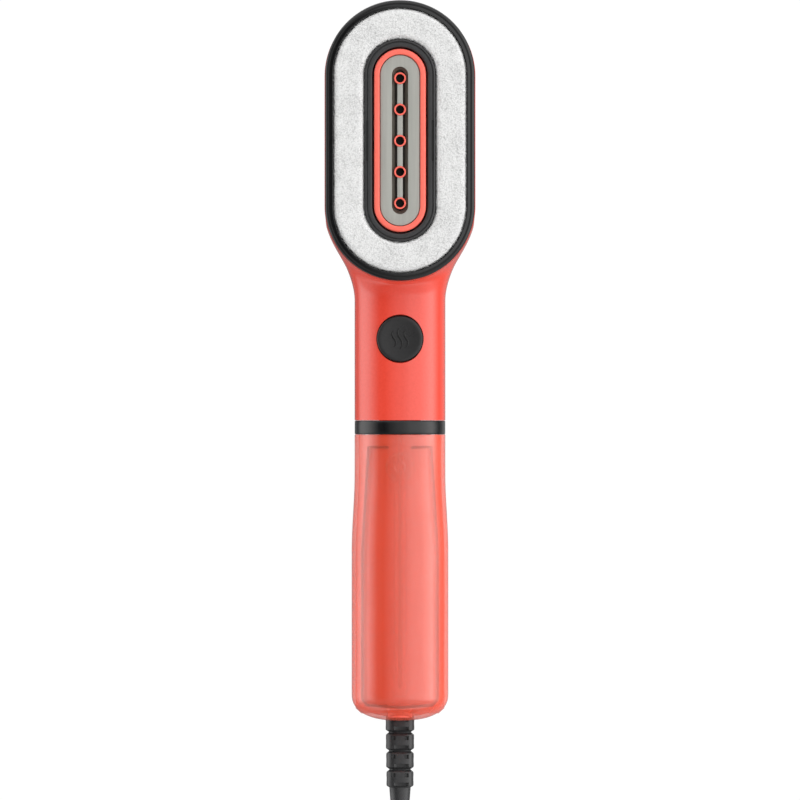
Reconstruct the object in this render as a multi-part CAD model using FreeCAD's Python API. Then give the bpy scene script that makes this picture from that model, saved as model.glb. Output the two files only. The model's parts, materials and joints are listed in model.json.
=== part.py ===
"""Handheld garment steamer with a clip-on water tank, as separate pieces (millimetres).

The steamer lies on its back: +Z out of the steam face, +Y towards the head, +X to its right.
The origin is at the middle of its length and width, on the surface it lies on.
"""
import FreeCAD, Part
import math
import os

V = FreeCAD.Vector

# ---------------------------------------------------------------- driving dimensions
body_length = 320.0          # top of the head to the lower end of the tank
head_width = 67.0
head_length = 124.0
head_depth = 60.0            # back of the head to the front rim of the bezel
grip_width = 40.4
grip_depth = 44.0
tank_width = 43.0
shell_wall = 2.2
tank_wall = 1.8
grip_power = 2.7             # squareness of the grip's section: 2 is an ellipse
end_power = 2.4              # squareness of the tank's rounded end
end_round = 12.0             # length of the tank's rounded end
parting_z = 24.0             # plane where the casings meet
loose = 0.3                  # gap between pieces that come apart
fit_gap = 0.08               # radial gap of a running fit
seam = 0.05                  # gap between fixed pieces that lie against each other

neck_start = 27.0            # y where the grip begins to widen
neck_end = 68.0              # y where the neck has reached the head's width
neck_sink = 0.6              # how far the neck's end stays inside the head
head_back_round = 15.0       # width and height of the head's rounded back edge
head_round_height = 26.0
band_top = -26.2
band_height = 6.4
tank_widen_top = -50.0
tank_widen_end = -84.0

bezel_rim = 3.6              # width of the bezel's front rim
bezel_depth = 8.0            # bezel floor to its front edge
pad_inner_width = 32.2
pad_height = 4.4
carrier_thick = 1.7
inner_ring_width = 23.5      # opening of the black inner ring
heat_ring_width = 17.8       # opening of the coral ring
groove_width = 7.1
groove_depth = 1.8
rib_width = 2.2
nozzle_count = 5
nozzle_pitch = 13.85
nozzle_outer = 5.3
nozzle_bore = 3.5

button_y = 10.0
button_dia = 20.6
button_travel = 1.5
button_stands = 0.4          # the cap's top above the grip
cap_thick = 3.0
stem_dia = 8.0
guide_top_z = 36.4
switch_top_z = 31.2
switch_gap = 0.1
plunger_dia = 2.8

core_top_y = -37.6
core_end_y = -154.4
core_top_width = 28.4
core_end_width = 33.4
core_front_z = 20.0
core_back_z = 5.0            # plane where the core meets its rear cover
core_wall = 2.0
core_neck_half = 9.2         # half width of the neck that joins the core to the grip
core_gap = 0.5
skirt_edge_z = 6.5
port_y = -47.0
port_tube = 9.0
port_bore = 6.6
valve_seat_bore = 4.4
valve_travel = 1.5
valve_stem_dia = 1.8
filler_z = 32.0
filler_bore = 11.0
filler_length = 6.4
hose_dia = 5.0
hose_bore = 3.6
filter_dia = 6.6
filter_y = -139.0            # upper end of the suction filter

pump_z = 13.0
pump_tube = 11.0
pump_bore = 7.2
coil_dia = 20.0
coil_length = 26.0
pump_length = 48.0
pump_nipple_dia = 4.8
pump_wall = 2.5              # end walls of the pump's bore
piston_length = 26.0
pump_middle_y = 3.0

chamber_half_width = 17.0
chamber_low_z = 28.0
chamber_high_z = 46.0
plate_flange_top = 50.0
plate_thick = 3.0
heater_dia = 6.6
heater_x = 12.6
heater_z = 34.0
inlet_z = 42.0
chamber_nipple_length = 7.0
bracket_thick = 1.5
screw_seat_z = 14.0          # underside of the casing screws' heads

cord_dia = 6.4
relief_dia = 12.9
relief_neck_dia = 10.4
relief_tip_dia = 9.2
relief_length = 38.0
relief_pitch = 8.4
relief_z = 11.0

hank_length = 122.0
hank_width = 58.0
hank_height = 26.0
hank_waist = 29.0
hank_start_y = -232.0
tie_thick = 1.8
tie_length = 15.0
plug_width = 35.3
plug_height = 26.0
plug_body_length = 30.0
plug_pin_dia = 4.8
plug_pin_pitch = 19.0
plug_pin_length = 19.0
lead_route = [(0, -198, relief_z), (0.8, -209, 10.4), (3.6, -219, 7.2), (9.5, -228, 4.2),
              (16.0, -236, 3.5), (20.5, -246, 3.4)]
tail_route = [(24.6, -325.6, 9.6), (22.3, -335.2, 9.6), (17.4, -344.0, 9.8), (10.9, -351.6, 10.6),
              (5.3, -359.9, 12.0), (1.6, -369.1, 12.9), (0, -379, 13.0)]

# ---------------------------------------------------------------- derived places
body_top = body_length / 2
tank_end = -body_length / 2
head_y = body_top - head_length / 2
head_straight = head_length - head_width
head_radius = head_width / 2
grip_mid_z = grip_depth / 2
body_front_z = head_depth - 4.0
bezel_floor_z = head_depth - bezel_depth
band_bottom = band_top - band_height
tank_top = band_bottom - loose
pad_outer_radius = head_radius - bezel_rim - loose
pad_inner_radius = pad_inner_width / 2 + 0.2
inner_ring_outer = pad_inner_width / 2 - 0.1
inner_ring_inner = inner_ring_width / 2
heat_ring_inner = heat_ring_width / 2
carrier_z = bezel_floor_z + 2.0 + loose
pad_z = carrier_z + carrier_thick
tank_floor_z = core_front_z + 0.6
cavity_z = tank_floor_z + tank_wall
nozzle_ys = [head_y + (i - (nozzle_count - 1) / 2) * nozzle_pitch for i in range(nozzle_count)]
coil_y0 = pump_middle_y - coil_length / 2
coil_y1 = pump_middle_y + coil_length / 2
board_z = pump_z + coil_dia / 2 + 2.4
pump_y0 = pump_middle_y - pump_length / 2
pump_y1 = pump_middle_y + pump_length / 2
pump_inlet_y = pump_y0 - 4.4
pump_mount_ys = (pump_middle_y - 19.0, pump_middle_y + 18.0)
cap_low_z = grip_depth + button_stands - cap_thick
stem_low_z = switch_top_z + button_travel + 0.5
bracket_top_z = chamber_low_z
gasket_z = plate_flange_top - plate_thick
heater_end_y = head_y - head_straight / 2 - 13.0
chamber_inlet_y = head_y - head_straight / 2 - chamber_half_width
poppet_low_z = core_front_z - 5.3 + valve_travel + 0.1
hose_z = cavity_z + 3.4
casing_screw_places = [(-25, head_y), (25, head_y), (0, body_top - 9.0),
                       (-14.5, 38), (14.5, 38), (-14, -19.5), (14, -19.5)]
chamber_screw_places = [(x, head_y + y) for x in (-24, 24) for y in (-26, 26)]
clip_places = [(x, head_y + y) for x in (-22.5, 22.5) for y in (-14, 14)]
cover_screw_places = [(x, y) for x in (-10.5, 10.5) for y in (-72.0, -148.0)]
hank_end_y = hank_start_y - hank_length
hank_middle_y = hank_start_y - hank_length / 2

nodes = {}


# ---------------------------------------------------------------- small makers
def box(x0, x1, y0, y1, z0, z1):
    return Part.makeBox(x1 - x0, y1 - y0, z1 - z0, V(x0, y0, z0))


def rod(radius, start, length, way):
    return Part.makeCylinder(radius, length, V(*start), V(*way))


def tube(outer, bore, start, length, way):
    return rod(outer / 2, start, length, way).cut(rod(bore / 2, start, length, way))


def fused(pieces):
    """One solid from pieces that overlap."""
    whole = pieces[0]
    for piece in pieces[1:]:
        whole = whole.fuse(piece)
    return whole.removeSplitter()


def smoothstep(t):
    t = min(max(t, 0.0), 1.0)
    return t * t * (3 - 2 * t)


def stadium(radius, straight, z0, z1):
    """An upright bar with round ends, long in Y and centred on the head."""
    y, half = head_y, straight / 2
    right, left = V(radius, y - half, z0), V(-radius, y + half, z0)
    edges = [Part.LineSegment(right, V(radius, y + half, z0)),
             Part.Arc(V(radius, y + half, z0), V(0, y + half + radius, z0), left),
             Part.LineSegment(left, V(-radius, y - half, z0)),
             Part.Arc(V(-radius, y - half, z0), V(0, y - half - radius, z0), right)]
    wire = Part.Wire([e.toShape() for e in edges])
    return Part.Face(wire).extrude(V(0, 0, z1 - z0))


def stadium_ring(outer, inner, z0, z1):
    return stadium(outer, head_straight, z0, z1).cut(stadium(inner, head_straight, z0, z1))


def section(y, half_width, low, high, power=None):
    """A closed, rounded-square section of the body in the plane at y."""
    power = grip_power if power is None else power
    middle, half_depth = (low + high) / 2, (high - low) / 2
    points = []
    count = 28
    for i in range(count):
        a = 2 * math.pi * (i + 0.5) / count
        c, s = math.cos(a), math.sin(a)
        points.append(V(half_width * math.copysign(abs(c) ** (2 / power), c), y,
                        middle + half_depth * math.copysign(abs(s) ** (2 / power), s)))
    curve = Part.BSplineCurve()
    curve.interpolate(Points=points, PeriodicFlag=True)
    return Part.Wire([curve.toShape()])


def loft(sections, ruled=False):
    return Part.makeLoft(sections, True, ruled, False, 3)


def bent_tube(points, diameter):
    """A round tube on straight runs joined by the largest tangent arcs, with the arcs' radii."""
    points = [V(*p) for p in points]
    edges, radii, here = [], [], points[0]
    for before, corner, after in zip(points, points[1:], points[2:]):
        a, b = (before - corner), (after - corner)
        reach = 0.45 * min(a.Length, b.Length)
        a.normalize()
        b.normalize()
        turn = math.pi - a.getAngle(b)
        radii.append(reach / math.tan(turn / 2))
        start, end = corner + a * reach, corner + b * reach
        inward = (a + b).normalize()
        middle = corner + inward * (radii[-1] / math.cos(turn / 2) - radii[-1])
        edges += [Part.LineSegment(here, start).toShape(), Part.Arc(start, middle, end).toShape()]
        here = end
    edges.append(Part.LineSegment(here, points[-1]).toShape())
    path = Part.Wire(edges)
    way = points[1] - points[0]
    ring = Part.Wire([Part.Circle(points[0], way, diameter / 2).toShape()])
    return path.makePipeShell([ring], True, False), radii, path.Length


def coil_spring(mean_radius, wire, turns, length, start, way):
    """A round-wire compression spring from start along way."""
    pitch = (length - wire) / turns
    helix = Part.makeHelix(pitch, length - wire, mean_radius)
    ring = Part.Wire([Part.Circle(V(mean_radius, 0, 0), V(0, 1, 0), wire / 2).toShape()])
    spring = Part.Wire(helix).makePipeShell([ring], True, True)
    spring.translate(V(0, 0, wire / 2))
    spring.Placement = FreeCAD.Placement(V(*start), FreeCAD.Rotation(V(0, 0, 1), V(*way))
                                         ).multiply(spring.Placement)
    return spring


def screw(x, y, z, shank, length, head_dia, head_height, way=1):
    """A pan-head screw whose head's underside is at z, with its shank along way * Z."""
    head = rod(head_dia / 2, (x, y, z), head_height, (0, 0, -way))
    head = head.cut(rod(head_dia / 5, (x, y, z - way * head_height), head_height * 0.6, (0, 0, way)))
    return fused([head, rod(shank / 2, (x, y, z), length, (0, 0, way))])


# ---------------------------------------------------------------- outer forms
def neck_share(y):
    """How far the neck has grown from the grip to the head at y, from 0 to 1."""
    return smoothstep((y - neck_start) / (neck_end - neck_start))


def neck_half_width(y):
    grip_half = grip_width / 2
    return grip_half + (head_radius - neck_sink - grip_half) * neck_share(y)


def neck_high(y):
    rise = smoothstep((y - neck_start) / (0.7 * (neck_end - neck_start)))
    return grip_depth + (body_front_z - neck_sink - grip_depth) * rise


def head_form(inset):
    """The head: a flat-backed dome profile carried round both ends, with an upright side."""
    radius, back = head_radius - inset, inset
    flat = head_radius - head_back_round
    low, corner = V(flat, 0, back), V(radius, 0, head_round_height)
    squeeze = math.sqrt(0.5)
    middle = V(flat + (radius - flat) * squeeze, 0, head_round_height - (head_round_height - back) * squeeze)
    front = V(radius, 0, body_front_z)
    outline = [Part.Arc(low, middle, corner), Part.LineSegment(corner, front),
               Part.LineSegment(front, V(0, 0, body_front_z)),
               Part.LineSegment(V(0, 0, body_front_z), V(0, 0, back)), Part.LineSegment(V(0, 0, back), low)]
    half = Part.Face(Part.Wire([e.toShape() for e in outline]))
    whole = None
    for way in (1, -1):
        side = half if way > 0 else half.mirror(V(0, 0, 0), V(1, 0, 0))
        bar = side.extrude(V(0, head_straight, 0))
        bar.translate(V(0, head_y - head_straight / 2, 0))
        end = half.revolve(V(0, 0, 0), V(0, 0, 1), way * 180)
        end.translate(V(0, head_y + way * head_straight / 2, 0))
        whole = bar.fuse(end) if whole is None else whole.fuse([bar, end])
    return whole.removeSplitter()


def prism(wire, length):
    return Part.Face(wire).extrude(V(0, length, 0))


def neck_form(inset, y0):
    """The grip and the neck, from y0 up into the head."""
    steps = 9
    rings = []
    for i in range(steps + 1):
        y = neck_start + (neck_end - neck_start) * i / steps
        rings.append(section(y, neck_half_width(y) - inset, inset + neck_sink * neck_share(y),
                             neck_high(y) - inset))
    grip = prism(section(y0, grip_width / 2 - inset, inset, grip_depth - inset), neck_start - y0)
    return grip.fuse(loft(rings))


def body_form(inset, y0):
    return neck_form(inset, y0).fuse(head_form(inset))


def tank_half_width(y):
    widen = smoothstep((tank_widen_top - y) / (tank_widen_top - tank_widen_end))
    return grip_width / 2 + (tank_width - grip_width) / 2 * widen


def tank_form(inset, y0=None):
    """The tank's outer form, with its rounded lower end."""
    y0 = tank_top if y0 is None else y0
    turn_y = tank_end + end_round
    low, high = inset, grip_depth - inset
    upper = prism(section(tank_widen_top, grip_width / 2 - inset, low, high), y0 - tank_widen_top)
    steps = 6
    rings = []
    for i in range(steps + 1):
        y = tank_widen_top + (tank_widen_end - tank_widen_top) * i / steps
        rings.append(section(y, tank_half_width(y) - inset, low, high))
    lower = prism(section(turn_y, tank_width / 2 - inset, low, high), tank_widen_end - turn_y)
    dome = []
    for degrees in range(0, 85, 12):
        a = math.radians(degrees)
        along, size = math.sin(a) ** (2 / end_power), math.cos(a) ** (2 / end_power)
        half_depth = (grip_mid_z - inset) * size
        dome.append(section(turn_y - (end_round - inset) * along, (tank_width / 2 - inset) * size,
                            grip_mid_z - half_depth, grip_mid_z + half_depth))
    return upper.fuse([loft(rings), lower, loft(dome, ruled=True)])


def core_outline(grow, z0, z1, y0=None, y1=None):
    """The handle core's tapered outline from the front, as an upright bar."""
    y0 = core_end_y - grow if y0 is None else y0
    y1 = core_top_y + grow if y1 is None else y1
    top, low = core_top_width / 2 + grow, core_end_width / 2 + grow
    turn = tank_widen_end - 4.0
    points = [V(-top, y1, z0), V(-low, turn, z0), V(-low, y0, z0),
              V(low, y0, z0), V(low, turn, z0), V(top, y1, z0)]
    return Part.Face(Part.makePolygon(points + points[:1])).extrude(V(0, 0, z1 - z0))


# ---------------------------------------------------------------- casings
def make_casings():
    hollow = body_form(0, band_top).cut(body_form(shell_wall, band_top - 1))
    front = hollow.common(box(-60, 60, band_top, 200, parting_z, 100))
    rear = hollow.common(box(-60, 60, band_top, 200, -1, parting_z - seam))
    front = front.cut(stadium(head_radius - shell_wall, head_straight, bezel_floor_z - 4, head_depth + 1))
    front = front.cut(rod(button_dia / 2 + loose, (0, button_y, parting_z + 3), 40, (0, 0, 1)))
    inside = body_form(0.2, band_top)
    front_posts, rear_posts, drills = [], [], []
    for x, y in casing_screw_places:
        post_top = parting_z + 11
        post = rod(3.6, (x, y, parting_z), post_top - parting_z, (0, 0, 1))
        if x == 0:
            web = box(-1.2, 1.2, y, y + 8, parting_z, post_top)
        else:
            wall_x = x * (1.3 if abs(x) > 20 else 1.5)
            web = box(min(x, wall_x), max(x, wall_x), y - 1.2, y + 1.2, parting_z, post_top)
        front_posts.append(post.fuse(web).common(inside))
        drills.append(rod(1.25, (x, y, parting_z - 1), 10, (0, 0, 1)))
        rear_posts.append(rod(4.2, (x, y, 0), parting_z - seam, (0, 0, 1)).common(inside))
    front = front.fuse(front_posts).cut(drills).removeSplitter()
    cradle_radius = pump_tube / 2 + 2.6
    for y in pump_mount_ys:
        rib = box(-15, 15, y - 1.4, y + 1.4, 0.5, pump_z).common(inside)
        rear_posts.append(rib.cut(rod(cradle_radius, (0, y - 2, pump_z), 4, (0, 1, 0))))
    rear = rear.fuse(rear_posts)
    for x, y in casing_screw_places:
        rear = rear.cut(rod(3.1, (x, y, -1), screw_seat_z + 1, (0, 0, 1)))
        rear = rear.cut(rod(1.7, (x, y, 0), 40, (0, 0, 1)))
    nodes["front_shell"] = front
    nodes["rear_shell"] = rear.removeSplitter()
    nodes["casing_screws"] = Part.makeCompound(
        [screw(x, y, screw_seat_z, 2.5, 17, 5.4, 2.0) for x, y in casing_screw_places])


def make_band():
    ring = loft([section(band_bottom, grip_width / 2, 0, grip_depth),
                 section(band_top - seam, grip_width / 2, 0, grip_depth)])
    opening = box(-core_neck_half - seam, core_neck_half + seam, band_bottom - 1, band_top + 1,
                  core_back_z - 1, core_front_z + seam)
    nodes["collar_band"] = ring.cut(opening)


# ---------------------------------------------------------------- head
def make_head():
    floor_top = bezel_floor_z + 2.0
    rim_outer = head_radius - 0.2
    rim = stadium_ring(rim_outer, head_radius - bezel_rim, body_front_z + seam, head_depth)
    wall_outer = head_radius - shell_wall - 0.1
    wall = stadium_ring(wall_outer, head_radius - bezel_rim, bezel_floor_z, body_front_z + 1)
    floor = stadium_ring(wall_outer, inner_ring_inner + seam, bezel_floor_z, floor_top)
    bezel = fused([rim, wall, floor])
    step = head_radius - bezel_rim * 0.45
    bezel = bezel.cut(stadium_ring(step, step - 0.45, head_depth - 0.8, head_depth + 1))
    inner_step = head_radius - bezel_rim * 0.58
    bezel = bezel.cut(stadium(inner_step, head_straight, head_depth - 0.35, head_depth + 1))
    posts, drills = [], []
    for x, y in chamber_screw_places:
        posts.append(rod(3.2, (x, y, bracket_top_z + seam), bezel_floor_z - bracket_top_z, (0, 0, 1)))
        drills.append(rod(1.1, (x, y, bracket_top_z), 12, (0, 0, 1)))
    bezel = bezel.fuse(posts).cut(drills)
    for x, y in clip_places:
        bezel = bezel.cut(box(x - 1.3, x + 1.3, y - 4.3, y + 4.3, bezel_floor_z - 1, floor_top + 1))
    nodes["head_bezel"] = bezel.removeSplitter()

    ring = stadium_ring(inner_ring_outer, inner_ring_inner, floor_top, head_depth - 0.2)
    for x in (-1, 1):
        slot_x = x * (inner_ring_outer - 1.4)
        ring = ring.cut(box(slot_x - 0.45, slot_x + 0.45, head_y - 9, head_y + 9, head_depth - 2.4, head_depth))
    nodes["inner_ring"] = ring
    heat = stadium_ring(inner_ring_inner - 0.1, heat_ring_inner, plate_flange_top + seam, head_depth)
    edge = 0.45
    nodes["heat_ring"] = heat.cut(stadium_ring(inner_ring_inner + 1, inner_ring_inner - 0.1 - edge,
                                               head_depth - edge, head_depth + 1))

    plate_top = head_depth - 0.8
    plate = stadium(heat_ring_inner - seam, head_straight, gasket_z, plate_top)
    plate = plate.fuse(stadium(inner_ring_inner - 0.4, head_straight, gasket_z, plate_flange_top))
    groove = stadium(groove_width / 2, head_straight, plate_top - groove_depth, plate_top + 1)
    rib_half = head_straight / 2 + 0.6
    rib = box(-rib_width / 2, rib_width / 2, head_y - rib_half, head_y + rib_half,
              plate_top - groove_depth, plate_top - 0.5)
    plate = plate.cut(groove).fuse(rib)
    bores = [rod(nozzle_outer / 2 + seam, (0, y, 0), 100, (0, 0, 1)) for y in nozzle_ys]
    nodes["steam_plate"] = plate.cut(bores).removeSplitter()
    eyelets = []
    for y in nozzle_ys:
        eyelet = tube(nozzle_outer, nozzle_bore, (0, y, gasket_z), plate_top - gasket_z + 0.15, (0, 0, 1))
        lip = Part.makeCone(nozzle_bore / 2, nozzle_bore / 2 + 0.5, 0.5, V(0, y, plate_top - 0.35), V(0, 0, 1))
        eyelets.append(eyelet.cut(lip))
    nodes["nozzle_eyelets"] = Part.makeCompound(eyelets)


def make_pad():
    cloth = stadium_ring(pad_outer_radius, pad_inner_radius, pad_z, pad_z + pad_height)
    nodes["pad_cloth"] = cloth
    carrier = stadium_ring(pad_outer_radius, pad_inner_radius, carrier_z, pad_z - seam)
    for x, y in clip_places:
        tongue = box(x - 0.8, x + 0.8, y - 3.8, y + 3.8, bezel_floor_z + 0.2, carrier_z + 0.5)
        carrier = carrier.fuse(tongue)
    nodes["pad_carrier"] = carrier.removeSplitter()


def make_chamber():
    block = stadium(chamber_half_width, head_straight, chamber_low_z, chamber_high_z)
    hollow = stadium(heat_ring_inner + 0.5, head_straight, chamber_high_z - 8.0, chamber_high_z + 1)
    block = block.cut(hollow)
    fins = [box(-6, 6, y - 0.8, y + 0.8, chamber_high_z - 8.5, chamber_high_z - 2)
            for y in [head_y + i * 11.0 for i in (-2.5, -1.5, -0.5, 0.5, 1.5, 2.5)]]
    fins = [f.cut(box(-7 + 11 * (i % 2), -3 + 11 * (i % 2), 0, 200, chamber_high_z - 8, chamber_high_z))
            for i, f in enumerate(fins)]
    block = block.fuse(fins)
    nipple_y = chamber_inlet_y - chamber_nipple_length
    block = block.fuse(rod(3.0, (0, nipple_y, inlet_z), chamber_nipple_length + 2, (0, 1, 0)))
    block = block.cut(rod(1.5, (0, nipple_y - 1, inlet_z), chamber_nipple_length + 10, (0, 1, 0)))
    nodes["steam_chamber"] = block.cut(heater_path(heater_dia + loose)).removeSplitter()
    nodes["chamber_gasket"] = stadium_ring(inner_ring_inner, heat_ring_inner + 1.0, chamber_high_z + seam,
                                           gasket_z - seam)
    leads = [rod(1.2, (x, heater_end_y - 8, heater_z), 8.5, (0, 1, 0)) for x in (-heater_x, heater_x)]
    nodes["heating_element"] = fused([heater_path(heater_dia)] + leads)
    thermostat_z = chamber_low_z - 6
    blades = [box(x - 2, x + 2, head_y - 0.4, head_y + 0.4, thermostat_z - 6, thermostat_z + 1)
              for x in (-4, 4)]
    nodes["thermostat"] = fused([rod(7.5, (0, head_y, thermostat_z), 6 - seam, (0, 0, 1))] + blades)
    fuse_y, fuse_z = head_y + 18.0, chamber_low_z - 2.1
    nodes["thermal_fuse"] = fused([rod(2.0, (-6, fuse_y, fuse_z), 12, (1, 0, 0)),
                                   rod(0.5, (-11, fuse_y, fuse_z), 22, (1, 0, 0))])
    strap_low_z = bracket_top_z - bracket_thick
    straps = [box(-28, 28, head_y + y - 5, head_y + y + 5, strap_low_z, bracket_top_z - seam)
              for y in (-26, 26)]
    holes = [rod(1.5, (x, y, 0), 60, (0, 0, 1)) for x, y in chamber_screw_places]
    nodes["chamber_brackets"] = Part.makeCompound([s.cut(holes) for s in straps])
    nodes["chamber_screws"] = Part.makeCompound(
        [screw(x, y, strap_low_z - seam, 2.2, 10, 5.0, 1.8) for x, y in chamber_screw_places])


def heater_path(diameter):
    """The tubular heater: two long legs and a half ring at the top."""
    top_y = head_y + head_straight / 2 - 4.0
    legs = [rod(diameter / 2, (x, heater_end_y, heater_z), top_y - heater_end_y, (0, 1, 0))
            for x in (-heater_x, heater_x)]
    ring = Part.makeTorus(heater_x, diameter / 2, V(0, top_y, heater_z), V(0, 0, 1))
    half = ring.common(box(-40, 40, top_y, top_y + 40, 0, 60))
    return fused(legs + [half])


# ---------------------------------------------------------------- grip: button, board and pump
def make_button():
    """The round cap on its stem, the guide fixed under the grip and the return spring."""
    radius = button_dia / 2
    cap = rod(radius, (0, button_y, cap_low_z), cap_thick, (0, 0, 1))
    cap_top = cap_low_z + cap_thick
    rim = [e for e in cap.Edges if abs(e.BoundBox.ZMin - cap_top) < 1e-3 and e.Closed]
    cap = cap.makeFillet(0.7, rim)
    stem = rod(stem_dia / 2, (0, button_y, stem_low_z), cap_low_z - stem_low_z + 1, (0, 0, 1))
    nodes["button_cap"] = fused([cap, stem])
    sleeve = tube(button_dia + 6.0, button_dia + 2 * loose, (0, button_y, guide_top_z - 2), 12, (0, 0, 1))
    sleeve = sleeve.common(neck_form(shell_wall + seam, band_top))
    plate = rod(radius + 1.5, (0, button_y, guide_top_z - 2.0), 2.0, (0, 0, 1))
    nodes["button_guide"] = fused([sleeve, plate]).cut(
        rod(stem_dia / 2 + fit_gap, (0, button_y, 0), 60, (0, 0, 1)))
    nodes["button_spring"] = coil_spring(5.6, 0.7, 3.5, cap_low_z - guide_top_z - 2 * seam,
                                         (0, button_y, guide_top_z + seam), (0, 0, 1))


def make_board():
    board = box(-13.5, 13.5, -15.5, 33.5, board_z, board_z + 1.6)
    part_sizes = [(-10, -4, 20, 30, 5), (3, 10, 22, 29, 4), (-11, -6, -12, -4, 7), (5, 11, -13, -6, 4)]
    parts = [box(x0, x1, y0, y1, board_z + 1.5, board_z + high) for x0, x1, y0, y1, high in part_sizes]
    nodes["control_board"] = fused([board] + parts)
    low = board_z + 1.6 + seam
    switch = box(-5, 5, button_y - 3, button_y + 3, low, switch_top_z)
    plunger_low = low + 0.8 + button_travel
    nodes["micro_switch"] = switch.cut(
        rod(plunger_dia / 2 + fit_gap, (0, button_y, low + 0.7), 20, (0, 0, 1)))
    nodes["switch_plunger"] = rod(plunger_dia / 2, (0, button_y, plunger_low),
                                  stem_low_z - switch_gap - plunger_low, (0, 0, 1))


def make_pump():
    body = rod(pump_tube / 2, (0, pump_y0, pump_z), pump_length, (0, 1, 0))
    nipple_radius = pump_nipple_dia / 2
    body = body.fuse(rod(nipple_radius, (0, pump_inlet_y, pump_z), 6, (0, 1, 0)))
    body = body.fuse(rod(nipple_radius, (0, pump_y1 - 1, pump_z), 7, (0, 1, 0)))
    body = body.cut(rod(pump_bore / 2, (0, pump_y0 + pump_wall, pump_z), pump_length - 2 * pump_wall,
                        (0, 1, 0)))
    nodes["pump_body"] = body.cut(rod(1.1, (0, pump_y0 - 6, pump_z), 70, (0, 1, 0))).removeSplitter()
    nodes["pump_coil"] = tube(coil_dia, pump_tube + 2 * seam, (0, coil_y0, pump_z), coil_length, (0, 1, 0))
    half = coil_dia / 2 - 0.4
    low = pump_z - half + 1.6
    yoke = [box(-half, half, coil_y0 - seam - 1.5, coil_y0 - seam, low, pump_z + half + 1.6),
            box(-half, half, coil_y1 + seam, coil_y1 + seam + 1.5, low, pump_z + half + 1.6),
            box(-half, half, coil_y0 - seam - 1.5, coil_y1 + seam + 1.5,
                pump_z + coil_dia / 2 + seam, pump_z + coil_dia / 2 + 1.2)]
    nodes["pump_yoke"] = fused(yoke).cut(rod(pump_tube / 2 + seam, (0, -60, pump_z), 120, (0, 1, 0)))
    piston_y0 = pump_y0 + pump_wall + loose
    piston = rod(pump_bore / 2 - fit_gap, (0, piston_y0, pump_z), piston_length, (0, 1, 0))
    nodes["pump_piston"] = piston.cut(rod(1.2, (0, piston_y0 - 1, pump_z), piston_length + 2, (0, 1, 0)))
    spring_y0 = piston_y0 + piston_length + seam
    nodes["pump_spring"] = coil_spring(2.7, 0.7, 5, pump_y1 - pump_wall - spring_y0 - seam,
                                       (0, spring_y0, pump_z), (0, 1, 0))
    nodes["pump_mounts"] = Part.makeCompound(
        [tube(pump_tube + 5.0, pump_tube + seam, (0, y - 2.0, pump_z), 4.0, (0, 1, 0)) for y in pump_mount_ys])
    chamber_end = chamber_inlet_y - chamber_nipple_length
    route = [(0, pump_y1 + 6.2, pump_z), (0, pump_y1 + 10.5, pump_z + 1.6), (0.6, pump_y1 + 13.0, pump_z + 7.5),
             (1.2, chamber_end - 12.5, inlet_z - 9), (0.6, chamber_end - 7.5, inlet_z - 0.6),
             (0, chamber_end - 0.2, inlet_z)]
    nodes["feed_hose"], _, _ = bent_tube(route, hose_dia)


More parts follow.
